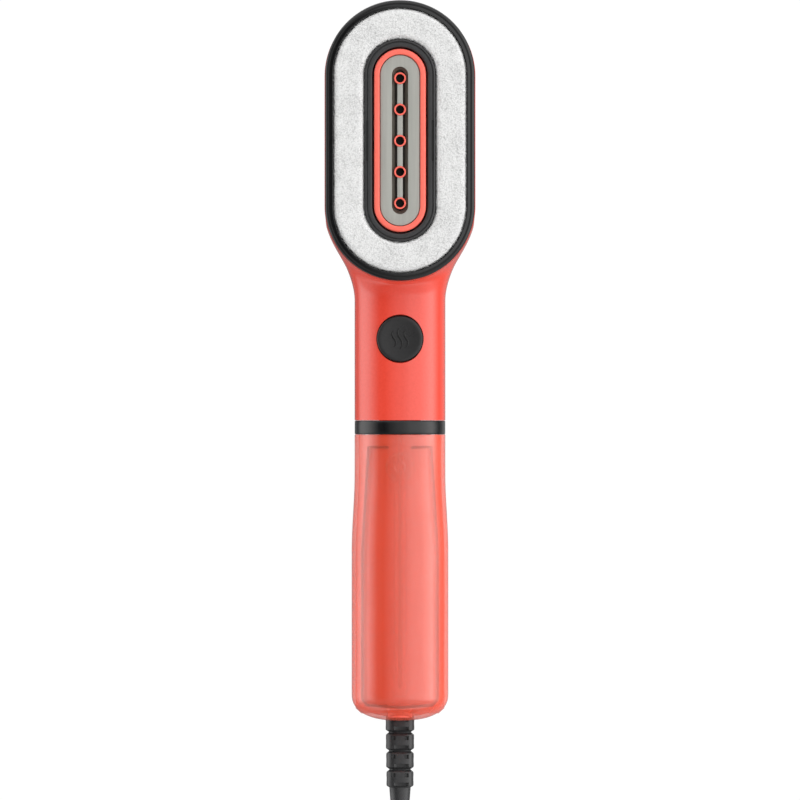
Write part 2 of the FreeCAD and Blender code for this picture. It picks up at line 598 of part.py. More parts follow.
# ---------------------------------------------------------------- handle core
def make_core():
    block = core_outline(0, core_back_z + seam, core_front_z)
    neck = box(-core_neck_half, core_neck_half, core_top_y - 2, band_top + 5, core_back_z + seam, core_front_z)
    front_edges = [e for e in block.Edges if abs(e.BoundBox.ZMin - core_front_z) < 1e-6]
    block = block.makeFillet(2.2, front_edges)
    hollow = core_outline(-core_wall, 0, core_front_z - core_wall)
    neck_hollow = box(-core_neck_half + core_wall, core_neck_half - core_wall, core_top_y - 5, band_top + 9,
                      0, core_front_z - core_wall)
    core = block.fuse(neck).cut([hollow, neck_hollow])
    socket_radius = port_tube / 2 + 2.0 + seam
    core = core.cut(rod(socket_radius, (0, port_y, 10), 20, (0, 0, 1)))
    core = core.cut(rod(relief_neck_dia / 2 + seam, (0, core_end_y - 2, relief_z), 6, (0, 1, 0)))
    for x, y in cover_screw_places:
        post = rod(3.2, (x, y, core_back_z + seam), core_front_z - core_back_z - 1, (0, 0, 1))
        core = core.fuse(post).cut(rod(1.1, (x, y, 0), 14, (0, 0, 1)))
    nodes["handle_core"] = core.removeSplitter()

    cover = tank_form(0, band_bottom - seam).common(
        core_outline(0, -1, core_back_z, core_end_y - 3, band_bottom - seam))
    inner = tank_form(core_wall, band_bottom - 5).common(
        core_outline(-core_wall, -1, core_back_z + 1, core_end_y + core_wall, band_bottom - 4))
    cover = cover.cut(inner)
    for x, y in cover_screw_places:
        cover = cover.fuse(rod(3.6, (x, y, 1.0), core_back_z - 1.0, (0, 0, 1)))
        cover = cover.cut(rod(2.6, (x, y, -1), 3.4, (0, 0, 1))).cut(rod(1.4, (x, y, 0), 9, (0, 0, 1)))
    nodes["core_cover"] = cover.removeSplitter()
    nodes["cover_screws"] = Part.makeCompound(
        [screw(x, y, 2.4, 2.1, 9, 4.6, 1.7) for x, y in cover_screw_places])

    socket = rod(socket_radius - seam, (0, port_y, 8.0), core_front_z - 8.0 - 0.3, (0, 0, 1))
    socket = socket.cut(rod(port_tube / 2 + 1.2, (0, port_y, 11.0), 20, (0, 0, 1)))
    socket = socket.fuse(rod(2.4, (0, port_y + 3, 9.6), 10, (0, 1, 0)).common(box(-9, 9, port_y + 5, 0, 0, 30)))
    socket = socket.cut(rod(1.2, (0, port_y - 1, 9.6), 20, (0, 1, 0)))
    socket = socket.cut(rod(2.0, (0, port_y, 9.5), 3, (0, 0, 1)))
    socket = socket.fuse([box(-2.5, 2.5, port_y - 0.5, port_y + 0.5, 9.6, 11.0),
                          rod(valve_stem_dia / 2, (0, port_y, 10.0), poppet_low_z - 0.1 - 10.0, (0, 0, 1))])
    nodes["port_socket"] = socket.removeSplitter()
    nodes["port_seal"] = tube(port_tube + 2.4 - 2 * seam, port_tube + 2 * fit_gap,
                              (0, port_y, core_front_z - 5.0), 3.6, (0, 0, 1))
    route = [(0, port_y + 13.2, 9.6), (0, port_y + 15.4, 10.0), (0.5, pump_inlet_y - 4.4, pump_z - 0.5),
             (0, pump_inlet_y - 0.2, pump_z)]
    nodes["inlet_hose"], _, _ = bent_tube(route, 4.4)


def make_mains():
    block_y = -112.0
    block = box(-9, 9, block_y - 8, block_y + 8, 6.5, 15.5)
    block = block.cut([rod(1.5, (x, block_y + y, 10), 8, (0, 0, 1)) for x in (-5, 5) for y in (-4.5, 4.5)])
    nodes["terminal_block"] = block
    nodes["terminal_screws"] = Part.makeCompound(
        [rod(1.4, (x, block_y + y, 10.2), 4.4, (0, 0, 1)).cut(
            box(x - 2, x + 2, block_y + y - 0.3, block_y + y + 0.3, 14, 15))
         for x in (-5, 5) for y in (-4.5, 4.5)])
    clamp_y, clamp_top, clamp_screw_xs = -138.0, relief_z + cord_dia / 2 + 1.8, (-6.6, 6.6)
    clamp = box(-9, 9, clamp_y - 3.5, clamp_y + 3.5, 6.2, clamp_top)
    clamp = clamp.cut(rod(cord_dia / 2, (0, clamp_y - 9, relief_z), 20, (0, 1, 0)))
    nodes["cord_clamp"] = clamp.cut([rod(1.2, (x, clamp_y, 0), 40, (0, 0, 1)) for x in clamp_screw_xs])
    nodes["clamp_screws"] = Part.makeCompound(
        [screw(x, clamp_y, clamp_top + seam, 2.1, 9, 4.2, 1.4, way=-1) for x in clamp_screw_xs])
    nodes["cord_inlet"] = rod(cord_dia / 2, (0, core_end_y + core_wall + 2.6, relief_z), 24, (0, 1, 0))
    wires = []
    for way in (-1, 1):
        route = [(way * 4.6, block_y + 8.2, 11), (way * 4.9, block_y + 24, 10.4),
                 (way * 5.4, port_y - 18, 11.0), (way * 8.3, port_y - 5, 12.0), (way * 7.4, port_y + 2.2, 12.4),
                 (way * 5.8, port_y + 7.6, 12.7), (way * 5.5, band_top + 3, 14.8)]
        solid, _, _ = bent_tube(route, 2.0)
        wires.append(solid)
    nodes["core_wires"] = Part.makeCompound(wires)


def make_relief():
    """The moulded strain relief: a flanged neck in the core, then tapered segments."""
    flange_y = core_end_y + core_wall + 2.4
    neck = rod(relief_neck_dia / 2, (0, flange_y, relief_z), core_wall + 3.4, (0, -1, 0))
    flange = rod(relief_dia / 2, (0, flange_y, relief_z), 2.3, (0, -1, 0))
    collar = rod(relief_dia / 2 - 0.5, (0, core_end_y - 0.1, relief_z), 2.6, (0, -1, 0))
    start = core_end_y - 2.7
    tip = tank_end - relief_length
    spine = Part.makeCone(relief_dia / 2 - 2.0, relief_tip_dia / 2 - 0.6, start - tip, V(0, start, relief_z),
                          V(0, -1, 0))
    pieces = [neck, flange, collar, spine]
    segment = relief_pitch - 1.6
    y = start - 1.2
    while y - segment > tip - 0.5:
        share = (start - y) / (start - tip)
        radius = relief_dia / 2 + (relief_tip_dia / 2 - relief_dia / 2) * share
        pieces.append(Part.makeCone(radius, radius - 0.25, segment, V(0, y, relief_z), V(0, -1, 0)))
        y -= relief_pitch
    nodes["strain_relief"] = fused(pieces)


# ---------------------------------------------------------------- tank
def make_tank():
    outer = tank_form(0).common(box(-60, 60, -200, 0, skirt_edge_z, 60))
    cavity = tank_form(tank_wall, tank_top + 1)
    shell = outer.cut(cavity.common(box(-60, 60, -200, 20, cavity_z, 60)))
    shell = shell.cut(cavity.common(box(-60, 60, -200, 20, -5, tank_floor_z)))
    shell = shell.cut(core_outline(core_gap, -5, tank_floor_z, -200, 20))
    nipple_low_z = core_front_z - 6.5
    nipple = tube(port_tube, port_bore, (0, port_y, nipple_low_z), cavity_z - nipple_low_z + 0.1, (0, 0, 1))
    shell = shell.cut(rod(port_bore / 2, (0, port_y, 10), 14, (0, 0, 1))).fuse(nipple)
    step = tube(port_bore + 0.4, valve_seat_bore, (0, port_y, nipple_low_z), 1.2, (0, 0, 1))
    shell = shell.fuse(step)
    boss = rod(filler_bore / 2 + 1.6, (0, tank_end + 1.2, filler_z), filler_length, (0, 1, 0))
    shell = shell.fuse(boss.common(tank_form(0.1)))
    shell = shell.cut(rod(filler_bore / 2, (0, tank_end - 2, filler_z), filler_length + 8, (0, 1, 0)))
    nodes["tank_shell"] = shell

    lid_form, lid_low = tank_form(tank_wall + seam, tank_top), tank_top - 3.4
    nodes["tank_lid"] = lid_form.common(box(-60, 60, lid_low, tank_top, cavity_z + seam, 60))
    nodes["tank_seal"] = lid_form.cut(tank_form(tank_wall + 1.6, tank_top)).common(
        box(-60, 60, lid_low - 1.5, lid_low - seam, cavity_z + 1.6, 60))

    poppet = rod(port_bore / 2 - 0.4, (0, port_y, poppet_low_z), 1.6, (0, 0, 1))
    stem = rod(valve_stem_dia / 2, (0, port_y, poppet_low_z + 1), 3.4, (0, 0, 1))
    nodes["valve_poppet"] = fused([poppet, stem])
    spring_low = poppet_low_z + 1.65
    nodes["valve_spring"] = coil_spring(2.3, 0.8, 3, cavity_z + 0.6 - spring_low, (0, port_y, spring_low),
                                        (0, 0, 1))
    cage = rod(5.2, (0, port_y, cavity_z + 0.1), 3.4, (0, 0, 1))
    cage = cage.cut(rod(3.6, (0, port_y, cavity_z), 2.3, (0, 0, 1)))
    cage = cage.fuse(rod(1.8, (0, port_y - 4.2, hose_z), 5.0, (0, -1, 0)))
    nodes["valve_cage"] = cage.cut(rod(0.9, (0, port_y, hose_z), 14, (0, -1, 0))).removeSplitter()
    hose_y0, hose_y1 = port_y - 6.2, filter_y + 1.0
    nodes["suction_hose"] = tube(hose_dia, hose_bore + 2 * seam, (0, hose_y1, hose_z), hose_y0 - hose_y1,
                                 (0, 1, 0))
    weight = rod(filter_dia / 2, (0, filter_y - 10.0, hose_z), 10.0, (0, 1, 0))
    weight = weight.cut(box(-5, 5, filter_y - 6.0, filter_y - 4.6, hose_z - 4, hose_z + 4)
                        .cut(rod(2.4, (0, filter_y - 7, hose_z), 4, (0, 1, 0))))
    weight = weight.fuse(rod(1.75, (0, filter_y - 1, hose_z), 5, (0, 1, 0)))
    nodes["suction_filter"] = weight.cut(rod(0.9, (0, filter_y - 12, hose_z), 20, (0, 1, 0))).removeSplitter()

    plug_y0 = tank_end + 1.6
    plug = rod(filler_bore / 2 - fit_gap, (0, plug_y0, filler_z), filler_length - 0.6, (0, 1, 0))
    nodes["filler_plug"] = plug.cut(box(-4, 4, plug_y0 - 1, plug_y0 + 1.4, filler_z - 1.6, filler_z + 1.6)
                                    .cut(box(-0.8, 0.8, plug_y0, plug_y0 + 2, filler_z - 2, filler_z + 2)))


# ---------------------------------------------------------------- mains lead, hank and plug
def make_cord():
    for name, route in (("cord_lead", lead_route), ("cord_tail", tail_route)):
        solid, radii, length = bent_tube(route, cord_dia)
        expected = length * math.pi * cord_dia ** 2 / 4
        print(name, "radii", [round(r, 1) for r in radii], "length", round(length, 1),
              "volume ratio", round(solid.Volume / expected, 4))
        nodes[name] = solid

    radius, waist = hank_width / 2, hank_waist / 2
    tie_y0, tie_y1 = hank_middle_y - tie_length / 2, hank_middle_y + tie_length / 2
    disc_ys = (hank_start_y - radius, hank_end_y + radius)
    right = [V(radius, disc_ys[1], 0), V(waist, tie_y0, 0), V(waist, tie_y1, 0), V(radius, disc_ys[0], 0)]
    left = [V(-p.x, p.y, 0) for p in reversed(right)]
    bridge = Part.Face(Part.makePolygon(right + left + right[:1])).extrude(V(0, 0, hank_height))
    discs = [rod(radius, (0, y, 0), hank_height, (0, 0, 1)) for y in disc_ys]
    tie_low, tie_high = tie_thick, hank_height - tie_thick
    groove = box(-60, 60, tie_y0, tie_y1, -1, 60).cut(box(-waist, waist, tie_y0, tie_y1, tie_low, tie_high))
    nodes["cord_hank"] = fused(discs + [bridge]).cut(groove)
    band = box(-waist - tie_thick, waist + tie_thick, tie_y0, tie_y1, 0, hank_height)
    nodes["hank_tie"] = band.cut(box(-waist, waist, tie_y0 - 1, tie_y1 + 1, tie_low, tie_high))


def make_plug():
    """A two-pin contour plug lying flat, its boot towards the hank and its pins away from it."""
    boot_y, boot_length = tail_route[-1][1], 18.0
    boot = Part.makeCone(cord_dia / 2 + 1.2, 7.0, boot_length, V(0, boot_y, plug_height / 2), V(0, -1, 0))
    face_y = boot_y - boot_length + 2 - plug_body_length
    power = 3.2
    rings = [section(face_y, plug_width / 2, 0, plug_height, power),
             section(face_y + 8, plug_width / 2, 0, plug_height, power),
             section(face_y + 19, plug_width / 2 - 4.5, 3.0, plug_height - 3.0, power),
             section(face_y + plug_body_length, 7.6, 5.6, plug_height - 5.6, 2.2)]
    nodes["plug_body"] = fused([loft(rings, ruled=True), boot])
    pins = []
    for x in (-plug_pin_pitch / 2, plug_pin_pitch / 2):
        root_y = face_y - 0.02
        pin = rod(plug_pin_dia / 2, (x, root_y, plug_height / 2), plug_pin_length, (0, -1, 0))
        tip = [e for e in pin.Edges if abs(e.BoundBox.YMax - (root_y - plug_pin_length)) < 1e-6]
        pins.append(pin.makeFillet(1.6, tip))
    nodes["plug_pins"] = Part.makeCompound(pins)


# ---------------------------------------------------------------- all pieces
def main():
    make_casings()
    make_band()
    make_head()
    make_pad()
    make_chamber()
    make_button()
    make_board()
    make_pump()
    make_core()
    make_mains()
    make_relief()
    make_tank()
    make_cord()
    make_plug()
    os.makedirs("parts", exist_ok=True)
    for name, shape in nodes.items():
        solids = len(shape.Solids)
        state = "ok" if shape.isValid() and solids else "BAD"
        print(f"{name:18s} {state} solids {solids} volume {shape.Volume:10.1f}")
        shape.exportStep(f"parts/{name}.step")
    print(len(nodes), "nodes")


main()
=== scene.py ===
"""Looks of a handheld garment steamer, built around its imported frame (metres)."""
from __future__ import annotations

import json
import logging
import math
from dataclasses import dataclass
from enum import Enum
from typing import Callable, Iterable, Sequence

import bmesh
import bpy
import numpy as np
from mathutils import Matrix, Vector, noise

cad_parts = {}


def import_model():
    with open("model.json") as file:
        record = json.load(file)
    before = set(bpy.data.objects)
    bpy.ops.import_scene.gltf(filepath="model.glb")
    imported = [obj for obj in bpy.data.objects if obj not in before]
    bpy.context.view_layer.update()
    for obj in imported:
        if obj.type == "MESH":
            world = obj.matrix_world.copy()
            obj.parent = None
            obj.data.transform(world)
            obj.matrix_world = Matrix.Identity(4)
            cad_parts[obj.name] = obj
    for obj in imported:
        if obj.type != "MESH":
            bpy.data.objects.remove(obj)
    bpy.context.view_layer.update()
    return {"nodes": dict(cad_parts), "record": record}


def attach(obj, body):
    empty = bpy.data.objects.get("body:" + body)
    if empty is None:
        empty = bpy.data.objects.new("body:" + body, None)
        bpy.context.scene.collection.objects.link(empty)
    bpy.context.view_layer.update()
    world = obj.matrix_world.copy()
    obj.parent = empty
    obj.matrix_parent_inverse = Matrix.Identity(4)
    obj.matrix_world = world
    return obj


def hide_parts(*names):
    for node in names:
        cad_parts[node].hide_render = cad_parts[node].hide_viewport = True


log = logging.getLogger("steamer")
MM = 0.001
Profile = Sequence[tuple[float, float]]
Point = tuple[float, float, float]


# ------------------------------------------------------------------ shared numbers (millimetres)
HEAD_Y = 97.9
HEAD_STRAIGHT = 58.2
HEAD_SPINE = (68.8, 126.45)
HEAD_RADIUS = 33.45
HEAD_FRONT_Z = 56.0
GRIP_HALF = 20.2
GRIP_DEPTH = 44.0
GRIP_POWER = 2.7
TANK_TOP = -32.62
TANK_END = -160.0
BUTTON_Y = 10.0


class Slot(Enum):
    """The record's material slots that pieces take their finish from."""

    CORAL_GLOSS = "coral_gloss"
    CORAL_SATIN = "coral_satin"
    BLACK_GLOSS = "black_gloss"
    BLACK_SATIN = "black_satin"
    PLATE = "plate_grey"
    CAST = "cast_aluminium"
    STEEL = "steel"
    BRASS = "brass"
    COPPER = "copper"
    SILICONE = "silicone"
    WHITE = "white_plastic"
    FABRIC = "pad_fabric"
    TANK = "tank_clear"
    BOARD = "board_green"
    WIRE = "wire_sheath"


# ------------------------------------------------------------------ shader building
class NodeTree:
    """A node tree with short ways to add values, ranges and ramps."""

    def __init__(self, tree: bpy.types.NodeTree) -> None:
        """Keeps the tree's nodes and links at hand.

        Args:
            tree: a material's or a world's tree.
        """
        self.nodes, self.links = tree.nodes, tree.links

    def ranged(self, value: bpy.types.NodeSocket, low: float, high: float, from_low: float = 0.0,
               from_high: float = 1.0, eased: bool = False) -> bpy.types.NodeSocket:
        """A value mapped to low..high and held there.

        Args:
            value: the value.
            low, high: what it is mapped to.
            from_low, from_high: what it is mapped from.
            eased: whether it eases in and out.

        Returns:
            The socket with the value.
        """
        node = self.nodes.new("ShaderNodeMapRange")
        if eased:
            node.interpolation_type = "SMOOTHSTEP"
        for name, number in (("From Min", from_low), ("From Max", from_high), ("To Min", low), ("To Max", high)):
            node.inputs[name].default_value = number
        self.links.new(value, node.inputs["Value"])
        return node.outputs["Result"]

    def math(self, kind: str, a: bpy.types.NodeSocket | float,
             b: bpy.types.NodeSocket | float = 0.0) -> bpy.types.NodeSocket:
        """A Math node of two values.

        Args:
            kind: the operation.
            a, b: numbers or sockets.

        Returns:
            The socket with the value.
        """
        node = self.nodes.new("ShaderNodeMath")
        node.operation = kind
        for socket, value in zip(node.inputs, (a, b)):
            if isinstance(value, bpy.types.NodeSocket):
                self.links.new(value, socket)
            else:
                socket.default_value = value
        return node.outputs["Value"]

    def ramp(self, value: bpy.types.NodeSocket, stops: Iterable[tuple[float, Sequence[float]]]
             ) -> bpy.types.NodeSocket:
        """Colours over a value.

        Args:
            value: the value, 0 to 1.
            stops: (position, colour) of each stop in order.

        Returns:
            The socket with the colour.
        """
        node = self.nodes.new("ShaderNodeValToRGB")
        elements = node.color_ramp.elements
        stops = list(stops)
        while len(elements) < len(stops):
            elements.new(0.5)
        for element, (position, colour) in zip(elements, stops):
            element.position = position
            element.color = (*colour, 1.0)
        self.links.new(value, node.inputs["Fac"])
        return node.outputs["Color"]


class Shader(NodeTree):
    """A material's node tree with short ways to add what the finishes need."""

    def __init__(self, name: str) -> None:
        """Starts a material with a Principled shader linked to its output.

        Args:
            name: the material's name.
        """
        self.material = bpy.data.materials.new(name)
        self.material.use_nodes = True
        super().__init__(self.material.node_tree)
        self.surface = self.nodes["Principled BSDF"]
        coordinates = self.nodes.new("ShaderNodeTexCoord")
        self.place = coordinates.outputs["Object"]

    def set(self, **values: object) -> None:
        """Sets constants on the Principled shader, with underscores for spaces."""
        for name, value in values.items():
            self.surface.inputs[name.replace("_", " ")].default_value = value

    def stretched(self, x: float, y: float, z: float) -> bpy.types.NodeSocket:
        """Object coordinates scaled along each axis.

        Args:
            x, y, z: the scale along each axis.

        Returns:
            The socket with the coordinates.
        """
        mapping = self.nodes.new("ShaderNodeMapping")
        mapping.inputs["Scale"].default_value = (x, y, z)
        self.links.new(self.place, mapping.inputs["Vector"])
        return mapping.outputs["Vector"]

    def noise(self, scale: float, detail: float = 3.0, place: bpy.types.NodeSocket | None = None,
              rough: float = 0.55) -> bpy.types.NodeSocket:
        """A noise texture's grey value.

        Args:
            scale: cycles per metre.
            detail: octaves.
            place: coordinates, or None for the object's own.
            rough: weight of the finer octaves.

        Returns:
            The socket with the value, about 0 to 1.
        """
        node = self.nodes.new("ShaderNodeTexNoise")
        node.inputs["Scale"].default_value = scale
        node.inputs["Detail"].default_value = detail
        node.inputs["Roughness"].default_value = rough
        self.links.new(place or self.place, node.inputs["Vector"])
        return node.outputs["Fac"]

    def cells(self, scale: float, feature: str = "F1",
              place: bpy.types.NodeSocket | None = None) -> bpy.types.NodeSocket:
        """A Voronoi texture's distance.

        Args:
            scale: cells per metre.
            feature: which distance is measured.
            place: coordinates, or None for the object's own.

        Returns:
            The socket with the value.
        """
        node = self.nodes.new("ShaderNodeTexVoronoi")
        node.feature = feature
        node.inputs["Scale"].default_value = scale
        self.links.new(place or self.place, node.inputs["Vector"])
        return node.outputs["Distance"]

    def bands(self, scale: float, axis: str, distortion: float = 0.0) -> bpy.types.NodeSocket:
        """A wave texture's bands across an axis.

        Args:
            scale: bands per metre, roughly.
            axis: the axis that they cross.
            distortion: how much they waver.

        Returns:
            The socket with the value.
        """
        node = self.nodes.new("ShaderNodeTexWave")
        node.bands_direction = axis
        node.inputs["Scale"].default_value = scale
        node.inputs["Distortion"].default_value = distortion
        self.links.new(self.place, node.inputs["Vector"])
        return node.outputs["Fac"]

    def tinted(self, value: bpy.types.NodeSocket, colour: Sequence[float], spread: float) -> None:
        """Base colour that varies round a colour by spread, with value.

        Args:
            value: the value, about 0 to 1.
            colour: the middle colour.
            spread: how far it varies, as a share.
        """
        low = [c * (1 - spread) for c in colour]
        high = [min(c * (1 + spread) + 0.15 * spread, 1.0) for c in colour]
        self.links.new(self.ramp(value, ((0.25, low), (0.75, high))), self.surface.inputs["Base Color"])

    def rough(self, value: bpy.types.NodeSocket, low: float, high: float) -> None:
        """Roughness from low to high, with value."""
        self.links.new(self.ranged(value, low, high, 0.3, 0.7), self.surface.inputs["Roughness"])

    def bump(self, height: bpy.types.NodeSocket, depth: float, strength: float = 1.0,
             under: bpy.types.NodeSocket | None = None) -> bpy.types.NodeSocket:
        """Bump of a real depth in millimetres; returns its normal and links it to the surface.

        Args:
            height: the height, 0 to 1.
            depth: its full depth in millimetres.
            strength: share of the bump that shows.
            under: a bump's normal that this one adds to.

        Returns:
            The socket with the normal.
        """
        node = self.nodes.new("ShaderNodeBump")
        node.inputs["Distance"].default_value = depth * MM
        node.inputs["Strength"].default_value = strength
        self.links.new(height, node.inputs["Height"])
        if under is not None:
            self.links.new(under, node.inputs["Normal"])
        self.links.new(node.outputs["Normal"], self.surface.inputs["Normal"])
        return node.outputs["Normal"]


@dataclass(frozen=True)
class Finish:
    """A finish: a name, a colour and how it is made into a material."""

    name: str
    colour: tuple[float, float, float]

    def build(self) -> bpy.types.Material:
        """The material, made once.

        Returns:
            The material.
        """
        found = bpy.data.materials.get(self.name)
        if found is not None:
            return found
        shader = Shader(self.name)
        self.dress(shader)
        return shader.material

    def dress(self, shader: Shader) -> None:
        """Adds the finish's own nodes."""
        raise NotImplementedError


@dataclass(frozen=True)
class GlossPlastic(Finish):
    """Polished moulded plastic with a faint orange peel, handling haze and fine pigment mottle."""

    roughness: float = 0.11
    gloss: float = 0.5

    def dress(self, shader: Shader) -> None:
        """Pigment, haze and orange peel.

        Args:
            shader: the material's node tree.
        """
        shader.set(IOR=1.5, Specular_IOR_Level=self.gloss)
        shader.tinted(shader.noise(900, 4), self.colour, 0.035)
        haze = shader.noise(45, 5, rough=0.65)
        shader.rough(haze, self.roughness * 0.8, self.roughness * 1.35)
        peel = shader.bump(shader.noise(420, 2), 0.004, 0.5)
        shader.bump(shader.noise(3200, 2), 0.0012, 0.4, peel)


@dataclass(frozen=True)
class SatinPlastic(Finish):
    """Moulded plastic with a fine spark-eroded grain."""

    roughness: float = 0.42
    grain: float = 0.012

    def dress(self, shader: Shader) -> None:
        """Pigment, patchy sheen and grain.

        Args:
            shader: the material's node tree.
        """
        shader.set(IOR=1.48)
        shader.tinted(shader.noise(700, 5), self.colour, 0.07)
        shader.rough(shader.noise(160, 4), self.roughness * 0.86, self.roughness * 1.16)
        grain = shader.bump(shader.cells(4200), self.grain, 0.6)
        shader.bump(shader.noise(1500, 3), self.grain * 0.8, 0.5, grain)


@dataclass(frozen=True)
class ClearPlastic(Finish):
    """Tinted see-through moulding: clear face on, full-bodied at the edges, with polished skins."""

    face_cover: float = 0.42
    edge_cover: float = 0.8
    index: float = 1.8

    def dress(self, shader: Shader) -> None:
        """Tint, cover by angle, a soft ripple and flow lines.

        Args:
            shader: the material's node tree.
        """
        shader.set(IOR=self.index, Specular_IOR_Level=0.85)
        flow = shader.noise(60, 3, shader.stretched(1.0, 0.25, 1.0))
        shader.tinted(flow, self.colour, 0.04)
        facing = shader.nodes.new("ShaderNodeLayerWeight")
        facing.inputs["Blend"].default_value = 0.3
        cover = shader.ranged(facing.outputs["Facing"], self.face_cover, self.edge_cover, 0.0, 1.0)
        shader.links.new(shader.math("MULTIPLY", cover, shader.ranged(flow, 0.94, 1.06, 0.3, 0.7)),
                         shader.surface.inputs["Alpha"])
        shader.rough(shader.noise(90, 4), 0.05, 0.1)
        shader.bump(shader.noise(260, 2), 0.003, 0.4)


@dataclass(frozen=True)
class Metal(Finish):
    """Metal with a lay of fine lines or a cast grain."""

    roughness: float = 0.3
    stretch: tuple[float, float, float] = (1.0, 1.0, 1.0)
    line_scale: float = 1500.0
    depth: float = 0.006

    def dress(self, shader: Shader) -> None:
        """Tone, polish and the lay of its surface.

        Args:
            shader: the material's node tree.
        """
        shader.set(Metallic=1.0)
        lay = shader.noise(self.line_scale, 5, shader.stretched(*self.stretch))
        shader.tinted(lay, self.colour, 0.09)
        shader.rough(shader.noise(240, 4), self.roughness * 0.8, self.roughness * 1.25)
        shader.bump(lay, self.depth, 0.6)


@dataclass(frozen=True)
class PlateCoating(Finish):
    """Fine-blasted anodised plate with faint upright streaks."""

    def dress(self, shader: Shader) -> None:
        """Streaks, blasted grain and a soft sheen.

        Args:
            shader: the material's node tree.
        """
        shader.set(Metallic=0.25, IOR=1.6)
        streaks = shader.noise(900, 4, shader.stretched(1.0, 0.04, 1.0))
        grain = shader.noise(5200, 3)
        both = shader.math("ADD", shader.math("MULTIPLY", streaks, 0.65), shader.math("MULTIPLY", grain, 0.35))
        shader.tinted(both, self.colour, 0.1)
        shader.rough(streaks, 0.4, 0.52)
        shader.bump(grain, 0.01, 0.5)


@dataclass(frozen=True)
class LoopFabric(Finish):
    """Short looped microfibre: soft sheen, fine knots and painted grey shade in the hollows between them."""

    def dress(self, shader: Shader) -> None:
        """Knots, painted shade in the hollows and fuzz.

        Args:
            shader: the material's node tree.
        """
        shader.set(Roughness=0.95, Sheen_Weight=0.5, Sheen_Roughness=0.5)
        knots = shader.cells(1500, place=shader.stretched(1.0, 1.0, 0.6))
        fleck = shader.noise(2600, 5, rough=0.7)
        # Colour darkens where the Voronoi distance is large, between the knots: painted shade in the hollows, plus
        # random fleck.
        tone = shader.math("ADD", shader.math("MULTIPLY", knots, -0.6), shader.math("MULTIPLY", fleck, 0.9))
        soft = shader.math("ADD", tone, shader.math("MULTIPLY", shader.noise(120, 3), 0.35))
        colour = shader.ramp(soft, ((0.05, [c * 0.7 for c in self.colour]), (0.4, self.colour),
                                    (0.75, [min(c * 1.08, 1.0) for c in self.colour])))
        shader.links.new(colour, shader.surface.inputs["Base Color"])
        loops = shader.bump(shader.math("MULTIPLY", knots, -1.0), 0.22, 0.7)
        shader.bump(fleck, 0.12, 0.6, loops)


@dataclass(frozen=True)
class Rubber(Finish):
    """Soft rubber or vinyl with a dull, slightly dusty skin."""

    roughness: float = 0.5
    clear: float = 0.0

    def dress(self, shader: Shader) -> None:
        """Dusty tone, skin and the fine pull lines of an extruded sheath.

        Args:
            shader: the material's node tree.
        """
        shader.set(IOR=1.45, Subsurface_Weight=self.clear, Subsurface_Scale=0.002)
        shader.tinted(shader.noise(520, 5), self.colour, 0.12)
        shader.rough(shader.noise(130, 4), self.roughness * 0.85, self.roughness * 1.2)
        shader.bump(shader.noise(2600, 3), 0.01, 0.5)


@dataclass(frozen=True)
class Board(Finish):
    """Solder mask with paler copper tracks under it."""

    def dress(self, shader: Shader) -> None:
        """Mask, tracks and gloss.

        Args:
            shader: the material's node tree.
        """
        shader.set(IOR=1.5)
        tracks = shader.ranged(shader.cells(230, "DISTANCE_TO_EDGE"), 1.0, 0.0, 0.02, 0.05)
        colour = shader.ramp(tracks, ((0.3, self.colour), (0.7, [c * 1.9 + 0.02 for c in self.colour])))
        shader.links.new(colour, shader.surface.inputs["Base Color"])
        shader.rough(shader.noise(300, 3), 0.25, 0.4)
        shader.bump(tracks, 0.035, 0.6)


@dataclass(frozen=True)
class Winding(Finish):
    """Enamelled wire laid in close turns round a bobbin."""

    def dress(self, shader: Shader) -> None:
        """Turns of wire, varnish, and painted shade between the turns.

        Args:
            shader: the material's node tree.
        """
        shader.set(Metallic=0.8)
        turns = shader.bands(420, "Y", 0.4)
        # The turns' colour darkens where the bump sinks between them: painted shade.
        shader.tinted(turns, self.colour, 0.3)
        shader.rough(shader.noise(400, 3), 0.25, 0.4)
        shader.bump(turns, 0.18, 0.8)


CORAL = (0.735, 0.062, 0.036)
FINISHES: dict[Slot, Finish] = {
    Slot.CORAL_GLOSS: GlossPlastic("coral moulding", CORAL, 0.1, 0.62),
    Slot.CORAL_SATIN: SatinPlastic("coral heat ring", (0.88, 0.135, 0.095), 0.4, 0.006),
    Slot.BLACK_GLOSS: GlossPlastic("black moulding", (0.0045, 0.0045, 0.005), 0.09, 0.42),
    Slot.BLACK_SATIN: SatinPlastic("black grained moulding", (0.016, 0.016, 0.017), 0.38, 0.008),
    Slot.PLATE: PlateCoating("anodised plate", (0.335, 0.335, 0.305)),
    Slot.CAST: Metal("cast aluminium", (0.56, 0.56, 0.55), 0.42, line_scale=700, depth=0.03),
    Slot.STEEL: Metal("zinc-plated steel", (0.58, 0.58, 0.59), 0.28),
    Slot.BRASS: Metal("nickelled brass", (0.70, 0.66, 0.55), 0.2, (1.0, 0.1, 1.0)),
    Slot.COPPER: Winding("wire winding", (0.55, 0.19, 0.07)),
    Slot.SILICONE: Rubber("milky silicone", (0.68, 0.68, 0.66), 0.42, 0.3),
    Slot.WHITE: SatinPlastic("white moulding", (0.66, 0.66, 0.63), 0.4, 0.006),
    Slot.FABRIC: LoopFabric("looped microfibre", (0.72, 0.72, 0.715)),
    Slot.TANK: ClearPlastic("clear coral tank", (0.97, 0.12, 0.06)),
    Slot.BOARD: Board("solder mask", (0.01, 0.075, 0.03)),
    Slot.WIRE: Rubber("wire sheath", (0.022, 0.022, 0.024), 0.45),
}


# ------------------------------------------------------------------ mesh makers
def smoothstep(t: np.ndarray | float) -> np.ndarray | float:
    """An even ease from 0 to 1."""
    t = np.clip(t, 0.0, 1.0)
    return t * t * (3 - 2 * t)


